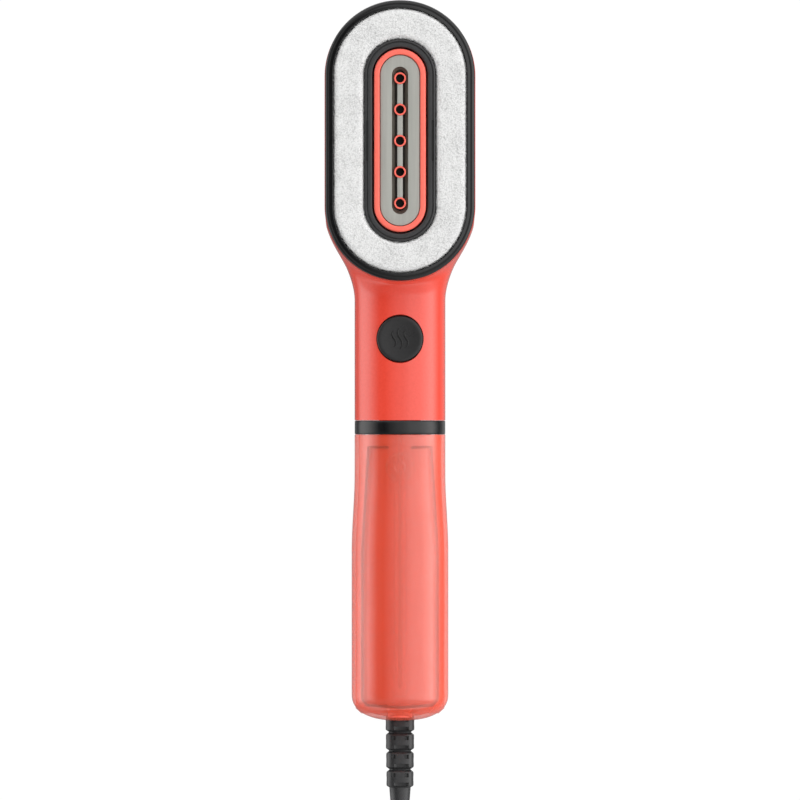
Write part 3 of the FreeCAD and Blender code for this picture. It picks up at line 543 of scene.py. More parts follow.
def superellipse(half: float, low: float, high: float, power: float, count: int) -> list[tuple[float, float]]:
    """A closed rounded-square section as (x, z), anticlockwise.

    Args:
        half: half its width.
        low, high: its lowest and highest z.
        power: 2 for an ellipse, more for squarer corners.
        count: how many points.

    Returns:
        The points.
    """
    out = []
    for i in range(count):
        a = 2 * math.pi * (i + 0.5) / count
        c, s = math.cos(a), math.sin(a)
        out.append((half * math.copysign(abs(c) ** (2 / power), c),
                    (low + high) / 2 + (high - low) / 2 * math.copysign(abs(s) ** (2 / power), s)))
    return out


def rounded(corners: Sequence[tuple[float, float, float]], closed: bool = False, steps: int = 4) -> Profile:
    """A polyline whose corners are rounded.

    Args:
        corners: (r, z, radius) of each corner in order.
        closed: whether the last corner joins the first.
        steps: points round each corner, less one.

    Returns:
        The points as (r, z).
    """
    out: list[tuple[float, float]] = []
    count = len(corners)
    for i, (r, z, radius) in enumerate(corners):
        if radius <= 0 or (not closed and i in (0, count - 1)):
            out.append((r, z))
            continue
        here = Vector((r, z))
        before = Vector(corners[i - 1][:2]) - here
        after = Vector(corners[(i + 1) % count][:2]) - here
        reach = min(radius, 0.49 * before.length, 0.49 * after.length)
        start, end = here + before.normalized() * reach, here + after.normalized() * reach
        for k in range(steps + 1):
            t = k / steps
            point = start * (1 - t) ** 2 + here * 2 * t * (1 - t) + end * t * t
            out.append((point.x, point.y))
    return out


def add_object(name: str, mesh: bpy.types.Mesh) -> bpy.types.Object:
    """A new object with that mesh, linked to the scene.

    Args:
        name: the object's name.
        mesh: its mesh or curve.

    Returns:
        The object.
    """
    thing = bpy.data.objects.new(name, mesh)
    bpy.context.scene.collection.objects.link(thing)
    return thing


def mesh_from(name: str, points: Sequence[Point], faces: Sequence[Sequence[int]],
              smooth_angle: float = 35.0) -> bpy.types.Object:
    """An object from points in millimetres, welded, with outward faces and edges sharp past an angle.

    Args:
        name: the object's name.
        points: the points.
        faces: the faces' point numbers.
        smooth_angle: degrees past which an edge is sharp.

    Returns:
        The object.
    """
    mesh = bpy.data.meshes.new(name)
    mesh.from_pydata([(x * MM, y * MM, z * MM) for x, y, z in points], [], faces)
    work = bmesh.new()
    work.from_mesh(mesh)
    bmesh.ops.remove_doubles(work, verts=work.verts, dist=1e-6)
    bmesh.ops.dissolve_degenerate(work, dist=1e-7, edges=work.edges)
    bmesh.ops.recalc_face_normals(work, faces=work.faces)
    work.to_mesh(mesh)
    work.free()
    shade(mesh, smooth_angle)
    return add_object(name, mesh)


def shade(mesh: bpy.types.Mesh, smooth_angle: float) -> None:
    """Smooth shading, with edges past an angle kept sharp."""
    mesh.shade_smooth()
    mesh.set_sharp_from_angle(angle=math.radians(smooth_angle))


def rings_faces(rows: int, columns: int, wrap_rows: bool, wrap_columns: bool, first: int = 0) -> list[list[int]]:
    """Quads between rows of points.

    Args:
        rows, columns: how many rows, and points in each.
        wrap_rows, wrap_columns: whether the last joins the first.
        first: the number of the first point.

    Returns:
        The faces' point numbers.
    """
    faces = []
    for i in range(rows if wrap_rows else rows - 1):
        for j in range(columns if wrap_columns else columns - 1):
            a, b = i, (i + 1) % rows
            c, d = j, (j + 1) % columns
            faces.append([first + a * columns + c, first + b * columns + c,
                          first + b * columns + d, first + a * columns + d])
    return faces


def stadium_sweep(name: str, profile: Profile, closed: bool = True, arc_steps: int = 56,
                  straight_steps: int = 1, smooth_angle: float = 35.0) -> bpy.types.Object:
    """A (r, z) profile carried round the head's long, round-ended outline.

    Args:
        name: the object's name.
        profile: the profile, r from the head's spine.
        closed: whether the profile closes on itself.
        arc_steps: steps round each end.
        straight_steps: steps along each side.
        smooth_angle: degrees past which an edge is sharp.

    Returns:
        The object.
    """
    stations: list[tuple[float, float, float]] = []
    for end, start_angle in ((1, 0.0), (-1, math.pi)):
        centre = HEAD_Y + end * HEAD_STRAIGHT / 2
        for i in range(arc_steps + 1):
            a = start_angle + math.pi * i / arc_steps
            stations.append((centre, math.cos(a), math.sin(a)))
        for i in range(1, straight_steps):
            y = centre - end * HEAD_STRAIGHT * i / straight_steps
            stations.append((y, -float(end), 0.0))
    points = [(r * c, y + r * s, z) for y, c, s in stations for r, z in profile]
    faces = rings_faces(len(stations), len(profile), True, closed)
    return mesh_from(name, points, faces, smooth_angle)


def lathe(name: str, profile: Profile, centre: Point, steps: int = 72, closed: bool = False,
          smooth_angle: float = 35.0) -> bpy.types.Object:
    """A (r, z) profile turned about an upright axis.

    Args:
        name: the object's name.
        profile: the profile, z from the centre.
        centre: the axis's foot.
        steps: steps round.
        closed: whether the profile closes on itself.
        smooth_angle: degrees past which an edge is sharp.

    Returns:
        The object.
    """
    points = []
    for i in range(steps):
        a = 2 * math.pi * i / steps
        points += [(centre[0] + r * math.cos(a), centre[1] + r * math.sin(a), centre[2] + z) for r, z in profile]
    return mesh_from(name, points, rings_faces(steps, len(profile), True, closed), smooth_angle)


def loft(name: str, sections: Sequence[tuple[float, Sequence[tuple[float, float]]]], cap: bool = True,
         smooth_angle: float = 35.0) -> bpy.types.Object:
    """Closed (x, z) sections joined along Y.

    Args:
        name: the object's name.
        sections: (y, points) of each section in order.
        cap: whether the ends are closed.
        smooth_angle: degrees past which an edge is sharp.

    Returns:
        The object.
    """
    count = len(sections[0][1])
    points = [(x, y, z) for y, section in sections for x, z in section]
    faces = rings_faces(len(sections), count, False, True)
    if cap:
        faces += [list(range(count)), list(range(len(points) - count, len(points)))]
    return mesh_from(name, points, faces, smooth_angle)


def cut_out(piece: bpy.types.Object, cutters: Sequence[bpy.types.Object], smooth_angle: float = 35.0) -> None:
    """Cuts the cutters' shapes out of a piece for good, and removes the cutters.

    Args:
        piece: the piece.
        cutters: the shapes that are cut out.
        smooth_angle: degrees past which an edge is sharp.
    """
    for cutter in cutters:
        step = piece.modifiers.new("cut", "BOOLEAN")
        step.operation, step.solver, step.object = "DIFFERENCE", "EXACT", cutter
    settle(piece, smooth_angle)
    for cutter in cutters:
        bpy.data.objects.remove(cutter)


def settle(piece: bpy.types.Object, smooth_angle: float = 35.0) -> None:
    """Makes a piece's modifiers part of its mesh.

    Args:
        piece: the piece.
        smooth_angle: degrees past which an edge is sharp.
    """
    bpy.context.view_layer.update()
    graph = bpy.context.evaluated_depsgraph_get()
    mesh = bpy.data.meshes.new_from_object(piece.evaluated_get(graph))
    piece.modifiers.clear()
    piece.data = mesh
    shade(mesh, smooth_angle)


def place_piece(piece: bpy.types.Object, body: str, slot: Slot, *nodes: str,
                finish: Finish | None = None) -> bpy.types.Object:
    """Dresses a piece, rides it on its body and lets it stand for CAD nodes.

    Args:
        piece: the object.
        body: the body that it moves with.
        slot: the record's slot for its finish.
        nodes: the CAD nodes that it stands for.
        finish: a finish of its own, or None for the slot's.

    Returns:
        The same object.
    """
    piece.data.materials.clear()
    piece.data.materials.append((finish or FINISHES[slot]).build())
    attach(piece, body)
    if nodes:
        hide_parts(*nodes)
    log.info("%s rides on %s and stands for %s", piece.name, body, ", ".join(nodes) or "no node")
    return piece


# ------------------------------------------------------------------ studio
@dataclass
class Studio:
    """The pale floor, the soft light all round and the camera."""

    camera_height: float = 8.05
    camera_y: float = -0.0172
    lens: float = 811.0
    floor_half: float = 6.0
    light_level: float = 4.25
    low_end_level: float = 0.07
    low_end_sides: float = 0.4
    high_end_level: float = 0.45
    low_window: tuple[float, float] = (-0.3, -0.52)
    high_window: tuple[float, float] = (0.36, 0.6)
    around: tuple[tuple[float, float], ...] = (
        (-180, 0.06), (-139, 0.06), (-128, 0.25), (-118, 0.48), (-100, 0.72), (-83, 0.75), (-69, 0.62), (-49, 0.26),
        (-35, 0.03), (-20, 0.0), (-13, 0.06), (-3, 0.18), (3, 0.33), (10, 0.47), (32, 0.55), (69, 0.9), (80, 0.85),
        (94, 0.5), (105, 0.22), (118, 0.05), (147, 0.12), (180, 0.08))

    def camera(self) -> None:
        """A long lens straight above the steam face."""
        data = bpy.data.cameras.new("camera")
        data.lens, data.sensor_width = self.lens, 36.0
        data.clip_start, data.clip_end = 0.05, 50.0
        eye = bpy.data.objects.new("camera", data)
        bpy.context.scene.collection.objects.link(eye)
        eye.location = (0.0, self.camera_y, self.camera_height)
        bpy.context.scene.camera = eye

    def floor(self) -> None:
        """A plain white floor."""
        half = self.floor_half
        mesh = bpy.data.meshes.new("floor")
        mesh.from_pydata([(-half, -half, 0), (half, -half, 0), (half, half, 0), (-half, half, 0)], [],
                         [(0, 1, 2, 3)])
        floor = add_object("floor", mesh)
        shader = Shader("white floor")
        shader.set(Base_Color=(0.03, 0.03, 0.03, 1.0), Roughness=1.0, Specular_IOR_Level=0.0,
                   Emission_Color=(1.0, 1.0, 1.0, 1.0), Emission_Strength=0.99)
        mesh.materials.append(shader.material)
        floor.location.z = -0.0006
        floor.visible_glossy = False

    def light(self) -> None:
        """A surrounding light: broad softboxes low on both sides of a darker top, even at both ends."""
        world = bpy.data.worlds.new("studio")
        bpy.context.scene.world = world
        world.use_nodes = True
        sky = NodeTree(world.node_tree)
        sky.nodes.clear()
        split = sky.nodes.new("ShaderNodeSeparateXYZ")
        sky.links.new(sky.nodes.new("ShaderNodeTexCoord").outputs["Generated"], split.inputs[0])
        across = sky.math("ARCTAN2", split.outputs["X"], split.outputs["Z"])
        share = sky.math("ADD", sky.math("DIVIDE", across, 2 * math.pi), 0.5)
        stops = [(degrees / 360 + 0.5, (level, level, level)) for degrees, level in self.around]
        ring = sky.ramp(share, stops)
        low_end, high_end = (sky.ranged(split.outputs["Y"], 0.0, 1.0, start, end, eased=True)
                             for start, end in (self.low_window, self.high_window))
        middle = sky.math("SUBTRACT", sky.math("SUBTRACT", 1.0, low_end), high_end)
        sides = sky.math("ADD", middle, sky.math("MULTIPLY", low_end, self.low_end_sides))
        ends = sky.math("ADD", sky.math("MULTIPLY", low_end, self.low_end_level),
                        sky.math("MULTIPLY", high_end, self.high_end_level))
        level = sky.math("ADD", sky.math("MULTIPLY", ring, sides), ends)
        background = sky.nodes.new("ShaderNodeBackground")
        sky.links.new(sky.math("MULTIPLY", level, self.light_level), background.inputs["Strength"])
        sky.links.new(background.outputs[0], sky.nodes.new("ShaderNodeOutputWorld").inputs["Surface"])

    def build(self) -> None:
        """Sets up everything that isn't the object."""
        bpy.context.scene.view_settings.view_transform = "Standard"
        self.camera()
        self.floor()
        self.light()


# ------------------------------------------------------------------ mains lead
@dataclass
class MainsLead:
    """The lead: strain relief, a hank of seven and a half turns, its tie, and the plug."""

    diameter: float = 6.4
    length: float = 2.24
    hank_y: float = -293.0
    hank_half: float = 32.0
    fold_radii: tuple[float, float] = (26.1, 19.7)
    waists: tuple[float, float] = (11.4, 5.0)
    relief_z: float = 11.0
    relief_start: float = -156.8
    relief_end: float = -198.0

    lead: tuple[Point, ...] = ((0, -198, 11), (0.8, -209, 10.4), (3.6, -219, 7.2), (9.5, -228, 4.2),
                               (16.0, -236, 3.5), (20.5, -246, 3.4))
    tail: tuple[Point, ...] = ((24.6, -325.6, 9.6), (22.3, -335.2, 9.6), (17.4, -344.0, 9.8),
                               (10.9, -351.6, 10.6), (5.3, -359.9, 12.0), (1.6, -369.1, 12.9), (0, -379, 13.0))

    def strand(self, side: int, ring: int, layer: int) -> list[Point]:
        """The points where a strand passes the waist, gathered under the tie.

        Args:
            side: 1 on the right, going down, and -1 on the left, going up.
            ring: 0 for an outer turn and 1 for an inner one.
            layer: 0 at the floor to 3 at the top.

        Returns:
            The points.
        """
        shift = 1.6 if layer % 2 == 0 else -1.6
        x, z = side * self.waists[ring] + shift, 5.05 + 5.32 * layer
        ends = (9.0, 0.0, -9.0)
        return [(x, self.hank_y + side * y, z) for y in ends]

    def fold(self, end: int, start: tuple[float, float], finish: tuple[float, float],
             turn: Callable[[float], tuple[float, float]]) -> list[Point]:
        """The points round one end of the hank.

        Args:
            end: 1 at the object's side and -1 at the plug's.
            start: (radius, z) where the fold starts.
            finish: (radius, z) where it ends.
            turn: the shares of radius and z gained at a share of the way round.

        Returns:
            The points.
        """
        points = []
        steps = 8
        for i in range(steps + 1):
            share = i / steps
            gained_r, gained_z = turn(share)
            radius = (start[0] + (finish[0] - start[0]) * gained_r) / 0.968
            z = start[1] + (finish[1] - start[1]) * gained_z
            a = math.radians(-22 + 224 * share)
            y = self.hank_y + end * (self.hank_half + radius * math.sin(a))
            points.append((-end * radius * math.cos(a), y, z))
        return points

    @staticmethod
    def layer_z(layer: int) -> float:
        """The height of a layer in the folds."""
        return 3.25 + 6.38 * layer

    def route(self) -> list[Point]:
        """The lead's control points from the strain relief to the plug.

        Returns:
            The points.
        """
        turns = [(0, 0), (1, 0), (1, 1), (1, 2), (1, 3), (0, 3), (0, 2), (0, 1)]
        points: list[Point] = list(self.lead)
        points += [(25.6, -257.0, 3.35), (24.4, -268.0, 3.4)]
        for i, (ring, layer) in enumerate(turns):
            points += self.strand(1, ring, layer)
            if i == len(turns) - 1:
                break
            here = (self.fold_radii[ring], self.layer_z(layer))
            next_ring, next_layer = turns[i + 1]
            there = (self.fold_radii[next_ring], self.layer_z(next_layer))
            points += self.fold(-1, here, here, lambda share: (0.0, 0.0))
            points += self.strand(-1, ring, layer)
            if next_ring != ring:
                window = (0.15, 0.45) if next_ring == 0 else (0.72, 1.0)
            else:
                window = (0.0, 0.25) if next_layer < layer else (0.42, 0.72)
            low, high = window
            points += self.fold(1, here, there,
                                lambda share, a=low, b=high: (float(smoothstep((share - a) / (b - a))),) * 2)
        points.append((21.5, -314.0, 9.6))
        points += self.tail
        return points

    def cord(self) -> bpy.types.Object:
        """The lead itself, one smooth curve.

        Returns:
            The cord.
        """
        curve = bpy.data.curves.new("mains_lead", "CURVE")
        curve.dimensions = "3D"
        curve.bevel_depth = self.diameter / 2 * MM
        curve.bevel_resolution = 5
        curve.resolution_u = 10
        route = self.route()
        spline = curve.splines.new("NURBS")
        spline.points.add(len(route) - 1)
        for point, (x, y, z) in zip(spline.points, route):
            point.co = (x * MM, y * MM, z * MM, 1.0)
        spline.order_u = 3
        spline.use_endpoint_u = True
        piece = add_object("mains_lead", curve)
        return place_piece(piece, "body", Slot.BLACK_SATIN, "cord_lead", "cord_hank", "cord_tail",
                           finish=Rubber("black cord sheath", (0.018, 0.018, 0.019), 0.42))

    def tie(self) -> bpy.types.Object:
        """The strap round the hank's middle, with a raised buckle fold on top.

        Returns:
            The strap.
        """
        sections = []
        for y, grow in ((-7.4, -0.5), (-7.0, -0.05), (-3.0, 0.0), (3.0, 0.0), (7.0, -0.05), (7.4, -0.5)):
            outer = superellipse(18.1 + grow, -grow * 0.6 + 0.02, 26.0 + grow, 7.0, 64)
            sections.append((self.hank_y + y, outer))
        inner = [(y, superellipse(16.35, 1.75, 24.25, 9.0, 64)) for y in (self.hank_y + 7.4, self.hank_y - 7.4)]
        strap = loft("hank_strap", sections + inner + sections[:1], cap=False)
        return place_piece(strap, "body", Slot.BLACK_SATIN, "hank_tie",
                           finish=Rubber("tie strap", (0.03, 0.03, 0.032), 0.6))

    def relief(self) -> bpy.types.Object:
        """The moulded strain relief: linked segments that taper, with open slots between them.

        Returns:
            The sleeve.
        """
        pitch, first, links = 8.3, -157.0, 4
        rows: list[tuple[float, float, float]] = [(self.relief_start + 5.6, 5.1, 3.0), (self.relief_start, 5.1, 3.0)]
        for i in range(links):
            top = first - i * pitch
            radius = 6.4 - 0.12 * i
            rows += [(top + 0.1, radius - 1.3, 3.2), (top - 0.1, radius - 1.3, 3.2), (top - 1.1, radius - 0.12, 3.6),
                     (top - 1.7, radius, 3.6), (top - pitch + 1.5, radius, 3.6),
                     (top - pitch + 1.0, radius - 0.12, 3.6), (top - pitch + 0.2, radius - 1.3, 3.2)]
        rows += [(self.relief_end + 7.0, 4.7, 2.6), (self.relief_end + 0.6, 4.2, 2.2), (self.relief_end, 3.5, 2.0)]
        sections = [(y, superellipse(r, self.relief_z - r, self.relief_z + r, power, 48)) for y, r, power in rows]
        sleeve = loft("strain_sleeve", sections, smooth_angle=40)
        cutters = []
        for i in range(links):
            top = first - i * pitch
            for side in (-1, 1):
                for x, y, half_x, half_y in ((0.6, top - 6.6, 3.4, 0.75), (-2.9, top - 2.6, 0.85, 0.9),
                                             (3.0, top - 2.6, 0.85, 0.9)):
                    z = self.relief_z + side * 6.0
                    hole = [(x + px, z + pz) for px, pz in superellipse(half_x, -1.1, 1.1, 4.0, 24)]
                    cutters.append(loft("slot", [(y - half_y, hole), (y + half_y, hole)]))
                half = superellipse(1.0, self.relief_z - 2.4, self.relief_z + 2.4, 4.0, 24)
                edge = [(side * 6.2 + px, pz) for px, pz in half]
                cutters.append(loft("slot", [(top - 5.4, edge), (top - 3.2, edge)]))
        cut_out(sleeve, cutters, 40)
        return place_piece(sleeve, "body", Slot.BLACK_SATIN, "strain_relief")

    def plug(self) -> bpy.types.Object:
        """The two-pin contour plug's body, waisted for the fingers, with a ribbed boot.

        Returns:
            The plug's body.
        """
        face_y, rise = -427.0, 13.0
        body = [(0.0, 16.9, 12.3, 3.0), (0.5, 17.5, 12.85, 3.2), (7.0, 17.55, 12.9, 3.2), (9.5, 17.2, 12.6, 3.2),
                (15.0, 14.4, 10.9, 3.0), (21.0, 12.4, 9.6, 2.8), (27.0, 9.4, 8.2, 2.5), (31.5, 7.3, 7.1, 2.1)]
        rows = [(face_y + y, half, high, power) for y, half, high, power in body]
        for i in range(5):
            y, radius = face_y + 32.3 + i * 2.9, 6.7 - 0.42 * i
            rows += [(y, radius - 0.9, radius - 0.9, 2.0), (y + 0.5, radius, radius, 2.0),
                     (y + 1.9, radius - 0.1, radius - 0.1, 2.0), (y + 2.3, radius - 0.9, radius - 0.9, 2.0)]
        rows += [(face_y + 47.4, 4.2, 4.2, 2.0), (face_y + 48.0, 3.6, 3.6, 2.0)]
        sections = [(y, superellipse(half, rise - high, rise + high, power, 56)) for y, half, high, power in rows]
        plug = loft("contour_plug", sections)
        return place_piece(plug, "body", Slot.BLACK_SATIN, "plug_body")

    def build(self, nodes: dict[str, bpy.types.Object]) -> None:
        """Args:
            nodes: the CAD nodes by name.
        """
        cord = self.cord()
        pieces = [self.relief(), self.tie(), self.plug(), nodes["plug_pins"]]


# ------------------------------------------------------------------ casings
@dataclass
class Casings:
    """The two coral casings: a flat-backed dome head blended into the grip, split at the parting seam."""

    neck_start: float = 27.0
    neck_end: float = 68.0
    neck_sink: float = 0.9
    back_round: float = 15.0
    round_height: float = 26.0
    blend: float = 3.4
    band_top: float = -26.2
    parting_z: float = 24.0
    seam: float = 0.22
    wall: float = 2.0
    hole_radius: float = 10.5
    columns: int = 72

    def field(self, x: np.ndarray, y: np.ndarray, z: np.ndarray) -> np.ndarray:
        """How far a point is outside the blended form, roughly, in millimetres.

        Args:
            x, y, z: the points' coordinates.

        Returns:
            The distances, less than 0 inside.
        """
        spine = np.clip(y, *HEAD_SPINE)
        low = np.clip((self.round_height - z) / self.round_height, 0.0, 1.0)
        reach = HEAD_RADIUS - self.back_round + self.back_round * np.sqrt(np.clip(1 - low * low, 0.0, 1.0))
        head = np.maximum(np.hypot(x, y - spine) - reach, -z)
        share = smoothstep((y - self.neck_start) / (self.neck_end - self.neck_start))
        half = GRIP_HALF + (HEAD_RADIUS - self.neck_sink - GRIP_HALF) * share
        bottom = self.neck_sink * share
        rise = smoothstep((y - self.neck_start) / (0.7 * (self.neck_end - self.neck_start)))
        top = GRIP_DEPTH + (HEAD_FRONT_Z - self.neck_sink - GRIP_DEPTH) * rise
        middle, deep = (top + bottom) / 2, (top - bottom) / 2
        level = (np.abs(x / half) ** GRIP_POWER + np.abs((z - middle) / deep) ** GRIP_POWER) ** (1 / GRIP_POWER)
        neck = (level - 1) * np.minimum(half, deep) + np.maximum(0.0, y - 60.0) * 0.4
        width = self.blend * smoothstep((y - 16.0) / 14.0) + 1e-6
        mix = np.clip(0.5 + 0.5 * (head - neck) / width, 0.0, 1.0)
        return head * (1 - mix) + neck * mix - width * mix * (1 - mix)

    def rim_half(self, y: float) -> float:
        """Half the width of the head's front opening at y."""
        spine = min(max(y, HEAD_SPINE[0]), HEAD_SPINE[1])
        return math.sqrt(max(HEAD_RADIUS ** 2 - (y - spine) ** 2, 0.0))

    def stations(self) -> list[float]:
        """The places of the sections along Y, closer where the form turns.

        Returns:
            The places, from the band to the crown.
        """
        low_end, high_end = HEAD_SPINE
        grip = list(np.linspace(self.band_top, 22.0, 34)) + list(np.linspace(23.2, 34.9, 13))
        lower = [low_end - HEAD_RADIUS * math.cos(a) for a in np.linspace(0.0, math.pi / 2, 46)]
        middle = list(np.linspace(low_end, high_end, 26))[1:-1]
        upper = [high_end + HEAD_RADIUS * math.sin(a) for a in np.linspace(0.0, math.pi / 2, 40)]
        return grip + lower + middle + upper

    def skin(self) -> tuple[list[Point], list[list[int]]]:
        """The outer skin as rows of points found along rays from each section's middle.

        Returns:
            The points and the faces' point numbers.
        """
        rows: list[Point] = []
        ys = self.stations()
        for y in ys:
            in_head = y >= HEAD_SPINE[0] - HEAD_RADIUS
            lift = float(smoothstep((y - 110.0) / 50.0))
            eye_z = 22.0 + 4.0 * float(smoothstep((y - 27.0) / 30.0)) + 14.0 * lift
            half = self.rim_half(y) if in_head else 0.0
            start = math.atan2(half, HEAD_FRONT_Z - eye_z) if in_head else 0.0
            share = np.linspace(0.0, 1.0, self.columns + 1)
            angles = start + (math.pi - start) * (0.72 * share + 0.28 * share ** 2)
            near, far = np.zeros_like(angles), np.full_like(angles, 75.0)
            sin_a, cos_a = np.sin(angles), np.cos(angles)
            for _ in range(34):
                middle = (near + far) / 2
                outside = self.field(middle * sin_a, np.full_like(angles, y), eye_z + middle * cos_a) > 0
                near, far = np.where(outside, near, middle), np.where(outside, middle, far)
            xs, zs = far * sin_a, eye_z + far * cos_a
            if in_head:
                xs[0], zs[0] = half, HEAD_FRONT_Z
                zs = np.minimum(zs, HEAD_FRONT_Z)
            xs[-1] = 0.0
            if not in_head:
                xs[0] = 0.0
            right = list(zip(xs.tolist(), [y] * len(xs), zs.tolist()))
            rows += right + [(-x, y, z) for x, y, z in reversed(right)]
        columns = 2 * (self.columns + 1)
        faces = rings_faces(len(ys), columns, False, False)
        closed = [i for i, y in enumerate(ys) if y < HEAD_SPINE[0] - HEAD_RADIUS]
        for i in closed:
            faces.append([i * columns + columns - 1, (i + 1) * columns + columns - 1,
                          (i + 1) * columns, i * columns])
        return rows, faces

    def half_shell(self, name: str, front: bool) -> bpy.types.Object:
        """One casing: the skin on its side of the parting plane, given thickness.

        Args:
            name: the object's name.
            front: True for the front casing.

        Returns:
            The piece, not yet dressed.
        """
        points, faces = self.skin()
        shell = mesh_from(name, points, faces)
        work = bmesh.new()
        work.from_mesh(shell.data)
        cut_z = (self.parting_z + (self.seam / 2 if front else -self.seam / 2)) * MM
        geometry = work.verts[:] + work.edges[:] + work.faces[:]
        bmesh.ops.bisect_plane(work, geom=geometry, dist=1e-7, plane_co=(0, 0, cut_z), plane_no=(0, 0, 1),
                               clear_outer=not front, clear_inner=front)
        outward = sum(f.normal.dot(f.calc_center_median() - Vector((0, f.calc_center_median().y, 0.024)))
                      for f in work.faces)
        if outward < 0:
            bmesh.ops.reverse_faces(work, faces=work.faces)
        work.to_mesh(shell.data)
        work.free()
        thicken = shell.modifiers.new("wall", "SOLIDIFY")
        thicken.thickness, thicken.offset = self.wall * MM, -1.0
        thicken.use_even_offset = False
        settle(shell)
        return shell

    def true_normals(self, shell: bpy.types.Object) -> None:
        """Gives the outer skin the form's own normals, so that reflections run clean across cuts.

        Args:
            shell: a casing.
        """
        mesh = shell.data
        count = len(mesh.vertices)
        co = np.zeros(count * 3)
        mesh.vertices.foreach_get("co", co)
        x, y, z = (co.reshape(-1, 3) / MM).T
        step = 0.02
        value = self.field(x, y, z)
        slope = np.stack([self.field(x + step, y, z) - self.field(x - step, y, z),
                          self.field(x, y + step, z) - self.field(x, y - step, z),
                          self.field(x, y, z + step) - self.field(x, y, z - step)], axis=1)
        slope /= np.maximum(np.linalg.norm(slope, axis=1, keepdims=True), 1e-9)
        on_skin = np.abs(value) < 0.02
        normals = np.zeros((len(mesh.loops), 3))
        for polygon in mesh.polygons:
            flat = np.array(polygon.normal)
            for loop in polygon.loop_indices:
                vertex = mesh.loops[loop].vertex_index
                follows = on_skin[vertex] and float(slope[vertex] @ flat) > 0.8
                normals[loop] = slope[vertex] if follows else (0.0, 0.0, 0.0)
        mesh.normals_split_custom_set(normals.tolist())

    def build(self) -> None:
        """Makes both casings."""
        front = self.half_shell("front_casing", True)
        profile = rounded([(0, 60, 0), (14.5, 60, 0), (14.5, 45.6, 0), (self.hole_radius + 0.55, 44.6, 1.2),
                           (self.hole_radius, 43.0, 0.5), (self.hole_radius, 30, 0), (0, 30, 0)])
        cut_out(front, [lathe("hole", profile, (0, BUTTON_Y, 0), 96)])
        rear = self.half_shell("rear_casing", False)
        for shell, node in ((front, "front_shell"), (rear, "rear_shell")):
            self.true_normals(shell)
            place_piece(shell, "body", Slot.CORAL_GLOSS, node)


@dataclass
class Collar:
    """The black band between the casings and the tank."""

    top: float = -26.3
    bottom: float = -32.55

    def build(self) -> None:
        """Makes the band, with softened edges and an open middle for the core's neck."""
        rows = ((self.bottom, 0.45), (self.bottom + 0.12, 0.18), (self.bottom + 0.4, 0.02), (self.top - 0.4, 0.02),
                (self.top - 0.12, 0.18), (self.top, 0.45))
        sections = [(y, superellipse(GRIP_HALF - g, g, GRIP_DEPTH - g, GRIP_POWER, 144)) for y, g in rows]
        band = loft("collar", sections, smooth_angle=50)
        opening = [(x, z) for x, z in ((-9.2, 4.0), (9.2, 4.0), (9.2, 20.0), (-9.2, 20.0))]
        cut_out(band, [loft("opening", [(self.bottom - 1, opening), (self.top + 1, opening)])], 50)
        place_piece(band, "body", Slot.BLACK_GLOSS, "collar_band")


